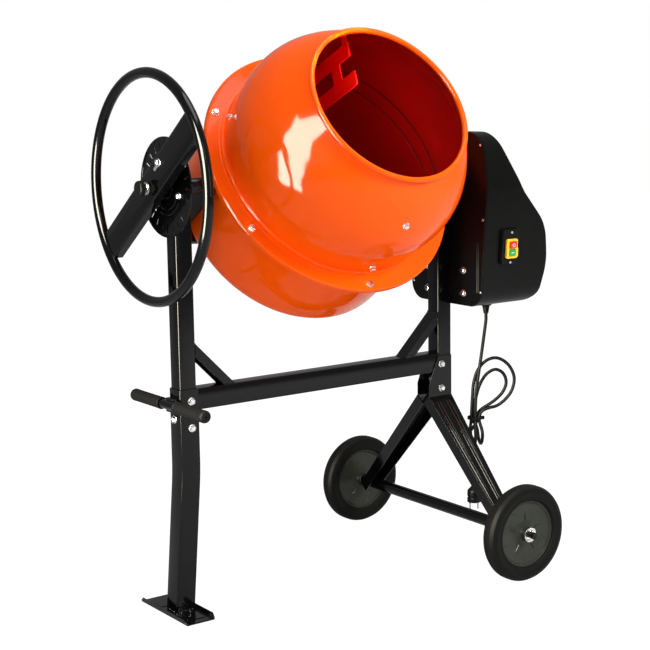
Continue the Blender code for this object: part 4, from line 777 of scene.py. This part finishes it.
def drum():
    """Both drum halves, the seal between them, their bolts and the bearing."""
    t, base = DRUM_SHEET, UPPER_BASE
    bead_line = arc(BEAD_R, 200, -115, 14, (MOUTH_R + BEAD_R, MOUTH_H))
    outside = rounded([(*bead_line[-1], 0), (0.2195, 0.25, 0.15), (0.239, 0.22, 0.15),
                       (0.2545, 0.19, 0.15), (0.2635, 0.157, 0.15), (0.2665, 0.12, 0.15),
                       (0.259, base + t + 0.006, 0.006), (0.2612, base + t, 0.003),
                       (0.27, base + t, 0.002), (0.271, base + t - 0.0006, 0.002),
                       (0.2965, base + t - 0.0006, 0.002), (0.299, base + t, 0.002),
                       (FLANGE_R, base - 0.0015, 0.003), (FLANGE_R, base - 0.01, 0)], 6, False)
    inside = rounded([(FLANGE_R - t, base - 0.01, 0), (FLANGE_R - t, base - 0.0025, 0.002),
                      (FLANGE_R - 0.0045, base, 0.001), (0.259, base, 0.001),
                      (0.257, base + 0.004, 0.004), (0.2645, 0.12, 0.15), (0.2615, 0.1566, 0.15),
                      (0.2526, 0.1893, 0.15), (0.2373, 0.2189, 0.15), (0.2179, 0.2488, 0.15),
                      (*bead_line[0], 0)], 6, False)

    # Faces inside the upper half get the darker red of painted shade.
    def is_inside(face):
        middle = face.calc_center_median()
        radius = hypot(middle.x, middle.y)
        outward = face.normal.x * middle.x + face.normal.y * middle.y > 0
        return middle.z < MOUTH_H - 0.008 and not outward and radius < 0.2655 and abs(face.normal.z) < 0.98

    add("drum_top_shell", lathe(bead_line + outside[1:] + inside[:-1], 144, closed=True), ORANGE, "drum",
        ("drum_upper",), TILTED, inner=is_inside)

    # Faces inside the lower half, and its floor, get the darker red of painted shade.
    def faces_in(face):
        middle = face.calc_center_median()
        inward = face.normal.x * middle.x + face.normal.y * middle.y < -1e-9
        return middle.z < FLANGE_H and (inward or face.normal.z > 0.9)

    foot = DRUM_FLOOR
    lower_out = rounded([(0, foot, 0), (0.11, foot, 0.05), (0.2, foot + 0.0005, 0.06),
                         (0.268, foot + 0.001, 0.041), (0.268, -0.105, 0.1), (0.262, -0.025, 0.1),
                         (0.262, FLANGE_H - 0.001, 0.0025), (0.295, FLANGE_H, 0)], 10, False)
    lower_in = rounded([(0.295, FLANGE_H + t, 0), (0.2622, FLANGE_H + t, 0.003),
                        (0.26, FLANGE_H - 0.0035, 0.003), (0.26, -0.025, 0.1), (0.266, -0.105, 0.1),
                        (0.266, foot + t + 0.001, 0.039), (0.2, foot + t + 0.0005, 0.06),
                        (0.11, foot + t, 0.05), (0, foot + t, 0)], 10, False)
    add("drum_bottom_shell", lathe(lower_out + lower_in, 144), ORANGE, "drum", ("drum_lower",), TILTED,
        inner=faces_in)
    seal_low = FLANGE_H + t + GAP
    gasket = rounded([(0.2588, seal_low, 0.0006), (0.281, seal_low, 0.0004),
                      (0.281, seal_low + 0.0015, 0.0004), (0.2588, seal_low + 0.0015, 0.0006)], 3)
    add("drum_gasket", lathe(gasket, 144, closed=True), RUBBER, "drum", ("drum_seal",), TILTED)

    # Thin dark ring round the drum wall at h 0.069 to 0.071, just above the lower blade bolts.
    dark_ring = rounded([(0.2599, 0.069, 0.0005), (0.2601, 0.0714, 0.0005), (0.2584, 0.071, 0.0005),
                       (0.2583, 0.0694, 0.0005)], 2)
    add("drum_dark_ring", lathe(dark_ring, 144, closed=True), RUBBER, "drum", (), TILTED)

    seat = UPPER_BASE + t
    for k in range(6):
        angle = radians(147 + 60 * k)
        turn = turned(angle) @ at(0.2865, 0, seat - 0.0006) @ turned(0.4 * k)
        add("flange_bolt_%d_zinc" % (k + 1), moved(hex_bolt(0.0066, tail=0.0078), turn), ZINC, "drum",
            ("flange_bolt_%d" % (k + 1),), TILTED)
    wall_bolts = []
    for k in range(2):
        angle = 87 + 180 * k
        for height, radius, slope in ((0.211, 0.2436, -0.517), (0.0625, 0.2611, 0.09)):
            head = screw_head(0.006, 0.002) if k == 0 else hex_bolt(head=0.0055, washer=0.008)
            wall_bolts.append(on_wall(head, angle, radius, height, slope))
            nut = hex_bolt(head=0.0055, washer=0.0075)
            wall_bolts.append(on_wall(nut, angle, radius - 0.0055, height, slope, -1))
    for angle in (151.5, 331.5):
        wall_bolts.append(on_wall(hex_bolt(head=0.005, washer=0.0072), angle, 0.2612, 0.066, 0.09))
    add("drum_wall_bolts", join(*wall_bolts), ZINC, "drum", (), TILTED)

    hub = rounded([(0, foot - GAP, 0), (0.045, foot - GAP, 0.001), (0.045, foot - 0.0033, 0.0012),
                   (0.03, foot - 0.0045, 0.003), (0.0265, foot - 0.012, 0.004),
                   (0.026, foot - 0.0198, 0.0012), (0.0104, foot - 0.0198, 0), (0.0104, foot - 0.002, 0),
                   (0, foot - 0.002, 0)], 5, False)
    add("drum_bearing", lathe(hub, 64), IRON, "drum", ("drum_hub",), TILTED)
    for k in range(4):
        turn = turned(tau * (k + 0.5) / 4) @ at(0.0375, 0, foot - 0.0036) @ turned(pi, "X")
        add("hub_bolt_%d" % (k + 1), moved(hex_bolt(head=0.004, washer=0.0058), turn), ZINC, "drum", (),
            TILTED)


def blade(index, angle):
    """Mixing blade: two rails and a web on a tab at each end."""
    thick, side = 0.004, 0.012
    lean = Vector((0.17, -0.985)).normalized()
    across = Vector((lean.y, -lean.x))
    top_outer = Vector((0.215, 0.215))
    rail, space = 0.034, 0.036
    second, far = rail + space, 2 * rail + space
    shape = [(0, 0, 0.003), (rail, 0, 0.003), (rail, 0.045, 0.004), (second, 0.045, 0.004),
             (second, -0.006, 0.003), (far, -0.006, 0.003), (far, 0.196, 0.003), (second, 0.196, 0.003),
             (second, 0.078, 0.004), (rail, 0.078, 0.004), (rail, 0.166, 0.003), (0, 0.166, 0.003)]
    outline = rounded([(*(top_outer + across * a + lean * b), r) for a, b, r in shape], 3)
    parts = [prism(outline, "Y", -side, thick - side)]
    walls = ((0.208, 0.24293 * cos(pi / 36), -0.517), (0.0625, 0.25911 * cos(pi / 36), 0.0931))
    for height, radius, slope in walls:
        along = Vector((slope, 1)).normalized()
        inward = Vector((-along.y, along.x))
        wall = Vector((radius, height)) + inward * GAP
        plate = [wall - along * 0.011, wall + along * 0.011, wall + along * 0.011 + inward * 0.003,
                 wall - along * 0.011 + inward * 0.003]
        parts.append(prism([tuple(p) for p in plate], "Y", -side, side))
        edge = top_outer.x + (top_outer.y - height) * 0.17 - 0.006
        low_corner = wall - along * 0.009 + inward * 0.0015
        high_corner = wall + along * 0.009 + inward * 0.0015
        parts.append(prism([tuple(low_corner), tuple(high_corner), (edge, high_corner.y - 0.004),
                            (edge, low_corner.y - 0.004)], "Y", -side, thick - side))
    frame_here = TILTED @ turned(radians(angle))
    add("blade_%d" % index, join(*parts), BLADE_SHADE, "drum", ("mixing_blade_%d" % index,), frame_here,
        bevel=0.0007)


# ---------------------------------------------------------------- yoke, handwheel
def yoke():
    """Bent bar round the drum, its pin, the tilt shaft and the tube on the drive side."""
    inner_r, thick, arm_x = 0.065, 0.012, 0.2905
    middle = (arm_x - inner_r, -0.145)
    right_in = [(arm_x, 0.018)] + arc(inner_r, 0, -90, 20, middle)
    right_out = [(arm_x + thick, 0.018)] + arc(inner_r + thick, 0, -90, 20, middle)
    left_in = [(-x, z) for x, z in reversed(right_in)]
    left_out = [(-x, z) for x, z in reversed(right_out)]
    outline = right_out + left_out + list(reversed(left_in)) + list(reversed(right_in))
    bar = prism(outline, "Y", -0.025, 0.025)
    bar = combine(bar, cylinder(0.0079, arm_x - 0.01, arm_x + thick + 0.01, 40, ALONG_X))
    add("yoke_bar", bar, BLACK, "yoke", ("yoke",), TILTED, bevel=0.0015)
    floor = -0.145 - inner_r - thick
    pin = [cylinder(0.01, floor - 0.002, -0.1913, 40, edge=0.001)]
    nut = lathe([(0, floor - 0.01), (0.014, floor - 0.01), (0.0155, floor - 0.0088), (0.0155, floor),
                 (0, floor)], 6)
    add("yoke_pin", join(nut, *pin), ZINC, "yoke", (), TILTED)

    start, post_face = -0.3028, LEFT_X + POST / 2 + 0.0008
    profile = rounded([(0, start, 0), (0.0165, start, 0.0008), (0.0165, post_face, 0.0008),
                       (PIVOT_R, post_face, 0), (PIVOT_R, INDEX_X - 0.002, 0),
                       (0.0105, INDEX_X - 0.003, 0.0004), (0.0105, -0.4438, 0.0004), (0.008, -0.4443, 0),
                       (0.008, -0.4645, 0), (0, -0.4645, 0)], 4, False)
    add("tilt_shaft_left", lathe(profile, 48, turn=ALONG_X), BLACK, "yoke", ("pivot_shaft_left",), TILTED)
    start, post_face = 0.3028, RIGHT_X - POST / 2 - 0.0008
    end = RIGHT_X + POST / 2 + 0.01
    profile = [(0.0079, start), (0.0185, start), (0.019, start + 0.0005), (0.019, post_face - 0.0005),
               (0.0185, post_face), (PIVOT_R, post_face), (PIVOT_R, end - 0.0005), (0.014, end),
               (0.0079, end)]
    add("tilt_tube_right", lathe(profile, 48, closed=True, turn=ALONG_X), BLACK, "yoke",
        ("pivot_tube_right",), TILTED)


def handwheel():
    """Rim, spoke channel, lock pin, knob and spring."""
    ring = lathe(circle(RING_TUBE_R, 28, (RING_R, 0.0)), 160, closed=True, turn=at(WHEEL_X) @ ALONG_X)
    add("handwheel_rim", ring, BLACK, "handwheel", ("handwheel_ring",), TILTED)
    half, depth = 0.032, 0.022
    face = WHEEL_X - 0.0035
    back = face + depth
    reach = RING_R - RING_TUBE_R + 0.0008
    outline = rounded([(face, -half, 0.004), (face, half, 0.004), (back, half, 0),
                       (back, half - SHEET, 0), (face + SHEET, half - SHEET, 0.002),
                       (face + SHEET, -half + SHEET, 0.002), (back, -half + SHEET, 0), (back, -half, 0)],
                      4)
    spoke = prism(outline, "Z", -reach - 0.02, reach + 0.02)
    spoke = combine(spoke, cylinder(reach, face - 0.02, back + 0.02, 144, ALONG_X), "INTERSECT")
    spoke = combine(spoke, cylinder(0.0109, face - 0.02, back + 0.02, 40, ALONG_X))
    pin = cylinder(0.005, face + SHEET / 2, INDEX_X - 0.0006, 24, at(z=-0.087) @ ALONG_X, edge=0.001)
    lead = TILTED @ turned(SPOKE_LEAD, "X")
    add("handwheel_channel", spoke, BLACK, "handwheel", ("handwheel_spoke",), lead, bevel=0.0005)
    add("lock_pin", pin, ZINC, "handwheel", (), lead)
    welds = []
    rim_r = reach + 0.0012
    half_angle = asin(half / reach)
    for middle in (-pi / 2, pi / 2):
        for way in (-1, 1):
            turns = [middle + way * (half_angle - setback) for setback in (0.03, 0.1)]
            ends = [(face + 0.003, rim_r * cos(turn), rim_r * sin(turn)) for turn in turns]
            welds.append(bead(*ends, 0.0022))
    add("handwheel_welds", join(*welds), BLACK, "handwheel", (), lead)

    bolt = hex_bolt(head=0.006, washer=0.008)
    spot = at(face, 0.014, 0.073) @ ALONG_X.inverted()
    stem = cylinder(0.003, face, face + 0.016, 20, at(0, 0.014, 0.073) @ ALONG_X)
    add("spoke_bolt", join(moved(bolt, spot), stem), ZINC, "handwheel", (), lead)
    slot_plate = prism(rectangle(0.0075, 0.026, 0.0035, (0.0125, 0.06)), "X", face - 0.0009, face)
    add("spoke_slot", slot_plate, ZINC, "handwheel", (), lead, bevel=0.0003)

    knob_x = -0.4675
    profile = rounded([(0, knob_x, 0), (0.0165, knob_x, 0.0035), (0.0165, knob_x + 0.0112, 0.0012),
                       (0.0083, knob_x + 0.0115, 0.0), (0.0083, knob_x + 0.0033, 0),
                       (0, knob_x + 0.0033, 0)], 6, False)
    add("knob", lathe(profile, 64, turn=ALONG_X), PLASTIC, "handwheel", ("lock_knob",), TILTED)
    turns, mean = 3.0, 0.0122
    start, end = knob_x + 0.0126, face - 0.0011
    line = []
    for k in range(int(turns * 28) + 1):
        angle = tau * k / 28
        share = k / (turns * 28)
        line.append((start + (end - start) * share, mean * cos(angle), mean * sin(angle)))
    add("knob_spring", wire(line, 0.0009, 8), ZINC, "handwheel", ("lock_spring",), TILTED)


# ---------------------------------------------------------------- housing
HOUSING_HALF = [(-0.125, -0.315, 0.042), (-0.1475, -0.027, 0.15), (-0.128, 0.092, 0.055)]
COVER_SIDE = [(0.029, 0.118, 0.0), (0.0589, 0.05, 0.06), (0.1109, -0.044, 0.12), (0.1889, -0.129, 0.11),
              (0.2009, -0.222, 0.15), (0.1789, -0.299, 0.045), (0.1159, -0.32, 0.0)]
BRACKET_BOLTS = [(-0.0655, 0.685), (-0.0655, 0.631), (0.0655, 0.685), (0.0655, 0.631)]
SWITCH_X, SWITCH_Z = COVER_X + 0.073, TILT_Z - 0.1745
GLAND = Vector((COVER_X + 0.0809, -0.05, TILT_Z - 0.315))


def housing_outline(inset=0.0, steps=14):
    """Rounded outline of the housing seen along X."""
    half = [(y + inset, TILT_Z + up, max(r - inset, 0.004)) for y, up, r in HOUSING_HALF]
    half[0] = (half[0][0], half[0][1] + inset, half[0][2])
    half[-1] = (half[-1][0], half[-1][1] - inset, half[-1][2])
    return rounded(half + [(-y, z, r) for y, z, r in reversed(half)], steps)


def wall_frame(x, z, side=-1):
    """Frame on the cover's front or rear wall: X along, Y up the wall, Z out of it."""
    (y0, low_z, _), (y1, high_z, _) = HOUSING_HALF[:2]
    up = Vector((0, y1 - y0, high_z - low_z)).normalized()
    along = Vector((1, 0, 0))
    out = along.cross(up)
    y = y0 + (y1 - y0) * (z - TILT_Z - low_z) / (high_z - low_z)
    if side > 0:
        up.y, out.y, along, y = -up.y, -out.y, -along, -y
    return at(x, y, z) @ Matrix((along, up, out)).transposed().to_4x4()


def housing():
    """Back plate and hollow cover of the drive housing, with their bolts and screws."""
    plate = prism(housing_outline(0.0005), "X", BACK_X, BACK_X + 0.0025)
    plate = combine(plate, cylinder(0.0151, BACK_X - 0.01, BACK_X + 0.02, 48, at(z=TILT_Z) @ ALONG_X))
    add("housing_plate", plate, SATIN, "frame", ("housing_back",), bevel=0.0006)

    shells = []
    for inset, start in ((0.0, COVER_X), (0.0025, COVER_X - 0.02)):
        side = [(COVER_X + x - inset * 1.2, TILT_Z + up, r) for x, up, r in COVER_SIDE]
        side[-1] = (side[-1][0], side[-1][1] - 0.02, 0)
        outline = rounded([(start - 0.01, side[0][1], 0)] + side + [(start - 0.01, side[-1][1], 0)], 14)
        shells.append(combine(prism(housing_outline(inset), "X", start, 0.6),
                              prism(outline, "Y", -0.2, 0.2), "INTERSECT"))
    cover = combine(*shells)
    cover = combine(cover, cylinder(0.0078, -0.02, 0.02, 32, Matrix.Translation(GLAND)))
    add("housing_shell", cover, SATIN, "frame", ("housing_cover",), bevel=0.0035)

    for k, (y, z) in enumerate(BRACKET_BOLTS):
        turn = at(BACK_X, y, z) @ ALONG_X.inverted()
        add("housing_bolt_%d" % (k + 1), moved(hex_bolt(head=0.006, washer=0.0085), turn), ZINC, "frame")
    heads = []
    for y, z in ((-0.124, 0.979), (-0.133, 0.807), (-0.125, 0.638), (0.119, 0.645)):
        heads.append(moved(screw_head(0.0032, 0.002), at(BACK_X + GAP, y, z) @ ALONG_X.inverted()))
    add("housing_screws", join(*heads), ZINC, "frame")
    lines = []
    for y in (-0.1175, -0.1125):
        lines.append(wire([(BACK_X - 0.0002, y - 0.006 * (z - 0.637), z)
                           for z in (0.637, 0.675, 0.715, 0.753)], 0.0012, 8))
    add("housing_ribs", join(*lines), SATIN, "frame")


def switch():
    """Switch base, cover, two buttons and their marks on the front wall of the housing."""
    turn = BASE @ wall_frame(SWITCH_X, SWITCH_Z)
    box = prism(rectangle(0.049, 0.082, 0.0035), "Z", GAP, 0.01)
    box = combine(box, prism(rectangle(0.029, 0.043, 0.0, (0.0, -0.003)), "Z", 0.0025, 0.03))
    add("switch_base", box, PLASTIC, "frame", ("switch_box",), turn, bevel=0.0012)
    heads = [moved(screw_head(0.003, 0.0018), at(0.0, y, 0.0098)) for y in (0.0345, -0.036)]
    add("switch_screws", join(*heads), ZINC, "frame", (), turn)
    low_face, top_face = 0.0103, 0.0163
    outline = rounded([(-0.0175, -0.026, 0.004), (0.013, -0.026, 0.004), (0.0175, -0.021, 0.003),
                       (0.0175, -0.004, 0.003), (0.015, 0.0, 0.0015), (0.015, 0.0195, 0.004),
                       (-0.0175, 0.0195, 0.004)], 4)
    cover = prism(outline, "Z", low_face, top_face)
    for middle in ((0.0, 0.006), (0.0, -0.0125)):
        cover = combine(cover, prism(rectangle(0.0216, 0.0166, 0.002, middle), "Z", low_face - 0.01,
                                     top_face + 0.01))
    add("switch_bezel", cover, YELLOW, "frame", ("switch_cover",), turn, bevel=0.0008)
    for name, middle, finish, proud in (("stop_button", (0.0, 0.006), RED, 0.0035),
                                        ("start_button", (0.0, -0.0125), GREEN, 0.001)):
        flange_low = low_face - 0.0033
        levels = [(rectangle(0.023, 0.0172, 0.0015, middle), flange_low),
                  (rectangle(0.023, 0.0172, 0.0015, middle), low_face - 0.0006),
                  (rectangle(0.0204, 0.0154, 0.0015, middle), low_face - 0.0006),
                  (rectangle(0.0204, 0.0154, 0.0015, middle), top_face + proud - 0.001),
                  (rectangle(0.0194, 0.0144, 0.0015, middle), top_face + proud - 0.0003),
                  (rectangle(0.018, 0.013, 0.0015, middle), top_face + proud)]
        shape = loft([[(a, b, h) for a, b in line] for line, h in levels])
        add(name + "_cap", shape, finish, name, (name,), turn)
        top = top_face + proud
        if name == "stop_button":
            mark = tube(circle(0.0042, 32, middle), circle(0.0031, 32, middle), "Z", top - 0.0002,
                        top + 0.0002)
        else:
            mark = prism(rectangle(0.0082, 0.0015, 0.0005, middle), "Z", top - 0.0002, top + 0.0002)
        add(name + "_mark", mark, WHITE, name, (), turn)


def motor():
    """Painted motor and drive inside the housing keep their CAD shapes."""
    for name, finish in (("motor", IRON), ("motor_bracket", IRON), ("motor_pulley", ZINC),
                         ("belt", RUBBER), ("drive_shaft", ZINC), ("pinion", IRON),
                         ("drive_pulley", PLASTIC), ("ring_gear", ORANGE)):
        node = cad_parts[name]
        node.data.materials.clear()
        node.data.materials.append(finish)


# ---------------------------------------------------------------- cord
TIE = GLAND + Vector((-0.0345, 0.0, -0.28))
PLUG_TOP = TIE + Vector((-0.0076, -0.0055, -0.147))
CORD_TURN = radians(-35.5)


def cord_route():
    """Points along the cord, from the gland through the folded hank to the plug."""
    lead = [(24, 16, 206), (16, 1.5, 159), (8.5, -8.5, 115), (3, -9.5, 75), (0.5, -9, 36), (0, -9, 0)]
    first_drop = [(0, -11.5, -10), (-1, -18, -21), (-1, -24.5, -32), (-1, -27, -43), (-2, -19.5, -61.5),
                  (-4, 0, -70), (-6, 19.5, -61.5), (-8, 27, -43), (-9, 23, -30), (-9.5, 12.2, -21),
                  (-9.5, 2, -13), (-9, -2, 0)]
    outer_loop = [(-8, -1, 20), (-6, 0, 54), (-3, 1, 86), (7, 1.5, 117), (28, 1.5, 140), (54, 1, 145.5),
                  (80, 0, 129), (94, -1, 99), (89, -2, 68), (73, -3, 45), (53, -4, 30), (34, -5, 25),
                  (21, -5, 20), (12.7, -5, 12), (9.5, -5, 0)]
    second_drop = [(10.5, -7.5, -10.5), (13, -14, -19), (15, -20.5, -27.5), (16, -23, -38),
                   (15, -15.5, -56.5), (13, 3, -64), (11, 21.5, -56.5), (9, 29, -38), (6, 26, -27),
                   (2, 19, -19), (-3, 11, -11), (-4, 8.5, 0)]
    inner_loop = [(-3, 8, 18), (3, 8, 47), (12, 9, 78), (28, 10, 104), (50, 10, 116), (69, 9, 106),
                  (76, 8, 84), (68, 8, 61), (51, 7, 43), (34, 6, 31), (18, 6, 21), (9.2, 5.5, 12),
                  (6, 5.5, 0)]
    tail = [(2.5, 3, -15), (-8, -1, -28), (-18, -3, -41), (-23, -4, -58), (-18, -6, -86), (-8, -8, -112)]
    turn = Matrix.Rotation(CORD_TURN, 3, "Z")
    hank = [TIE + turn @ Vector(point) / 1000 for point in lead + first_drop + outer_loop + second_drop
            + inner_loop + tail]
    start = [GLAND + Vector((0, 0, -0.0286)), GLAND + Vector((0, 0, -0.045))]
    end = [PLUG_TOP + Vector((0, 0, 0.018)), PLUG_TOP + Vector((0, 0, GAP))]
    return start + hank + end


def smooth_line(route, step):
    """Evenly spaced points on a smooth curve through the route, and its length."""
    fine = []
    ends = [2 * route[0] - route[1]] + route + [2 * route[-1] - route[-2]]
    for p0, p1, p2, p3 in zip(ends, ends[1:], ends[2:], ends[3:]):
        for k in range(12):
            t = k / 12
            fine.append(0.5 * ((2 * p1) + (p2 - p0) * t + (2 * p0 - 5 * p1 + 4 * p2 - p3) * t * t
                               + (3 * p1 - p0 - 3 * p2 + p3) * t ** 3))
    fine.append(route[-1])
    length = sum((b - a).length for a, b in zip(fine, fine[1:]))
    count = round(length / step)
    spaced, walked, want = [fine[0]], 0.0, length / count
    for a, b in zip(fine, fine[1:]):
        part = (b - a).length
        while walked + part >= want * len(spaced) and len(spaced) < count:
            spaced.append(a.lerp(b, (want * len(spaced) - walked) / part))
        walked += part
    return spaced + [fine[-1]], length


def ridges(radius, widen, first, pitch, land, depth):
    """Profile of the five moulded ridges of a strain relief."""
    profile = []
    for k in range(5):
        r, h = radius + widen * k, first - pitch * k
        profile += [(r, h), (r, h - land), (r - depth, h - land - 0.0003), (r - depth, h - pitch + 0.0003)]
    return profile


def cord():
    """Cord with its gland, plug, pins and tie."""
    points, length = smooth_line(cord_route(), 0.006)
    curve = bpy.data.curves.new("power_cord", "CURVE")
    curve.dimensions = "3D"
    curve.bevel_depth = 0.004
    curve.bevel_resolution = 6
    curve.use_fill_caps = True
    line = curve.splines.new("POLY")
    line.points.add(len(points) - 1)
    for point, place in zip(line.points, points):
        point.co = (*(place + ORIGIN), 1)
    curve.materials.append(CORD)
    cable = put("power_cord", curve)
    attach(cable, "frame")
    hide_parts("cord")

    profile = [(0, 0.0065), (0.0072, 0.0065), (0.0072, -GAP), (0.0128, -GAP), (0.013, -0.0006),
               (0.013, -0.0078), (0.0122, -0.0088), (0.01, -0.0095), (0.0092, -0.0105)]
    profile += ridges(0.0088, -0.00055, -0.0112, 0.0033, 0.0018, 0.0011) + [(0.0062, -0.028), (0, -0.028)]
    collar = [(0.01, -0.0012), (0.0142, -0.0012), (0.0146, -0.0018), (0.0146, -0.0062), (0.0142, -0.0068),
              (0.01, -0.0068)]
    gland = join(lathe(profile, 40), lathe(collar, 6, closed=True))
    strain = add("cord_gland", moved(gland, Matrix.Translation(GLAND)), PLASTIC, "frame", ("cable_gland",))

    profile = [(0, -GAP), (0.005, -GAP), (0.0054, -0.001)]
    profile += ridges(0.0056, 0.0003, -0.0022, 0.0038, 0.002, 0.001)
    profile += rounded([(0.0085, -0.0225, 0.001), (0.0095, -0.024, 0.001), (0.015, -0.0295, 0.003),
                        (0.0165, -0.033, 0.002), (0.0165, -0.044, 0.002), (0.015, -0.0462, 0.001),
                        (0.015, -0.0478, 0.001), (0.0165, -0.0495, 0.001), (0.0165, -0.06, 0.001),
                        (0, -0.06, 0)], 4, False)
    body = lathe(profile, 48, turn=Matrix.Translation(PLUG_TOP))
    plug = add("plug_body", body, PLASTIC, "frame", ("plug",))
    across = Matrix.Rotation(CORD_TURN, 3, "Z") @ Vector((0.0095, 0, 0))
    pins = [lathe([(0, -0.078), (0.0016, -0.0778), (0.0024, -0.0768), (0.0024, -0.059), (0, -0.059)], 24,
                  turn=Matrix.Translation(PLUG_TOP + sign * across)) for sign in (-1, 1)]
    prongs = add("plug_pins", join(*pins), PIN, "frame")
    strap = [(0.017, -0.0028), (0.0174, -0.003), (0.0182, -0.003), (0.0185, -0.0026), (0.0185, 0.0026),
             (0.0182, 0.003), (0.0174, 0.003), (0.017, 0.0028)]
    lock = moved(prism(rectangle(0.0055, 0.009, 0.001), "Z", -0.0035, 0.0035),
                 turned(CORD_TURN) @ at(0.02, 0, 0))
    tie = add("cord_strap", moved(join(lathe(strap, 48, closed=True), lock), Matrix.Translation(TIE)),
              PLASTIC, "frame", ("cord_tie",))


# ---------------------------------------------------------------- camera, light, floor
CAMERA_AT = Vector((-1.95214, -2.73767, 1.12413))
CAMERA_TURN = radians(-35.493)
CAMERA_RISE = radians(9.12)
CAMERA_ROLL = radians(-0.86)
FOCAL_LENGTH = 83.4          # mm, on a sensor 36 mm wide


def camera():
    level = cos(CAMERA_RISE)
    back = Vector((sin(CAMERA_TURN) * level, -cos(CAMERA_TURN) * level, sin(CAMERA_RISE)))
    flat = Vector((cos(CAMERA_TURN), sin(CAMERA_TURN), 0))
    upright = back.cross(flat)
    right = flat * cos(CAMERA_ROLL) + upright * sin(CAMERA_ROLL)
    up = upright * cos(CAMERA_ROLL) - flat * sin(CAMERA_ROLL)
    lens = bpy.data.cameras.new("camera")
    lens.sensor_width = 36.0
    lens.lens = FOCAL_LENGTH
    lens.clip_end = 50.0
    made = put("camera", lens)
    turn = Matrix((right, up, back)).transposed().to_4x4()
    made.matrix_world = Matrix.Translation(CAMERA_AT + ORIGIN) @ turn
    bpy.context.scene.camera = made


def lamp(name, place, target, width, height, power, gloss=1, diffuse=1, roll=0.0, colour=(1, 1, 1),
         spread=180):
    """Rectangular light turned to a target; power in watts, roll and spread in degrees."""
    data = bpy.data.lights.new(name, "AREA")
    data.shape = "RECTANGLE"
    data.size, data.size_y = width, height
    data.energy = power
    data.spread = radians(spread)
    made = put(name, data)
    aim = (Vector(target) - Vector(place)).to_track_quat("-Z", "Y")
    tip = turned(radians(roll))
    made.matrix_world = Matrix.Translation(Vector(place) + ORIGIN) @ aim.to_matrix().to_4x4() @ tip
    made.visible_diffuse = bool(diffuse)
    made.visible_glossy = bool(gloss)
    data.color = colour


def white_for_eye(tree, strength):
    """Light Path switch: a share of white for camera rays, and none for the rest."""
    path = tree.nodes.new("ShaderNodeLightPath")
    share = tree.nodes.new("ShaderNodeMath")
    share.operation = "MULTIPLY"
    share.inputs[1].default_value = strength
    tree.links.new(path.outputs["Is Camera Ray"], share.inputs[0])
    return share.outputs["Value"]


def two_looks(tree, output, seen, other, share):
    """Node tree that shows a white light to the camera, by its share, and another shader to the rest."""
    mix = tree.nodes.new("ShaderNodeMixShader")
    tree.links.new(white_for_eye(tree, share), mix.inputs["Fac"])
    tree.links.new(other, mix.inputs[1])
    tree.links.new(seen, mix.inputs[2])
    tree.links.new(mix.outputs["Shader"], tree.nodes.new(output).inputs["Surface"])


def plain_shader(tree, kind, shade, strength=None):
    """Output of a new shader node in one grey, with a strength if it shines."""
    new = tree.nodes.new(kind)
    new.inputs["Color"].default_value = (shade, shade, shade, 1)
    if strength is not None:
        new.inputs["Strength"].default_value = strength
    return new.outputs[0]


def studio():
    """White world and floor for the camera, soft plain lights, and highlights for the paint."""
    scene = bpy.context.scene
    scene.view_settings.view_transform = "Standard"
    world = bpy.data.worlds.new("studio")
    world.use_nodes = True
    scene.world = world
    tree = world.node_tree
    tree.nodes.clear()
    two_looks(tree, "ShaderNodeOutputWorld", plain_shader(tree, "ShaderNodeBackground", 1.0, 1.0),
              plain_shader(tree, "ShaderNodeBackground", 1.0, 0.3), 1.0)

    floor_look = bpy.data.materials.new("floor")
    floor_look.use_nodes = True
    tree = floor_look.node_tree
    tree.nodes.clear()
    two_looks(tree, "ShaderNodeOutputMaterial", plain_shader(tree, "ShaderNodeEmission", 1.0, 1.16),
              plain_shader(tree, "ShaderNodeBsdfDiffuse", 0.62), 0.86)
    ground = bmesh.new()
    bmesh.ops.create_grid(ground, x_segments=8, y_segments=8, size=9.0)
    mesh = bpy.data.meshes.new("floor")
    ground.to_mesh(mesh)
    ground.free()
    mesh.materials.append(floor_look)
    made = put("floor", mesh)
    made.location.z = -0.0005

    lamp("key", (1.8, -2.9, 2.5), (0, 0, 0.9), 1.4, 1.4, 165, gloss=0)
    lamp("fill", (-2.6, -2.0, 1.6), (0.0, 0, 0.7), 1.2, 1.8, 50, gloss=0)
    lamp("top", (0.2, -0.6, 3.4), (0, 0, 0.8), 2.0, 1.4, 42)
    lamp("rear", (1.5, 2.8, 2.2), (0, 0, 0.8), 1.6, 1.6, 30, gloss=0)
    lamp("mouth", (1.2, -2.2, 0.9), (-0.08, -0.21, 1.18), 0.2, 0.2, 2.8, gloss=0, spread=6,
         colour=(1.0, 0.15, 0.1))
    lamp("card", (-1.75, -0.52, 1.12), (-0.275, -0.2, 0.97), 0.84, 2.1, 330, diffuse=0, roll=-20,
         colour=(1.0, 0.95, 0.78))
    lamp("strip", (0.6, -3.2, 1.3), (0.0, -0.2, 0.9), 0.16, 1.5, 10, diffuse=0)
    lamp("edge", (-1.2, -3.2, 2.9), (0.0, 0.0, 0.6), 0.14, 1.2, 9, diffuse=0)


camera()
studio()
cord()
stand()
leg()
handle()
strut(-1)
strut(1)
axle()
wheel("front", -1)
wheel("rear", 1)
frame_bolts()
index_plate()
bushes()
drum()
blade(1, 85)
blade(2, 265)
yoke()
handwheel()
housing()
switch()
motor()
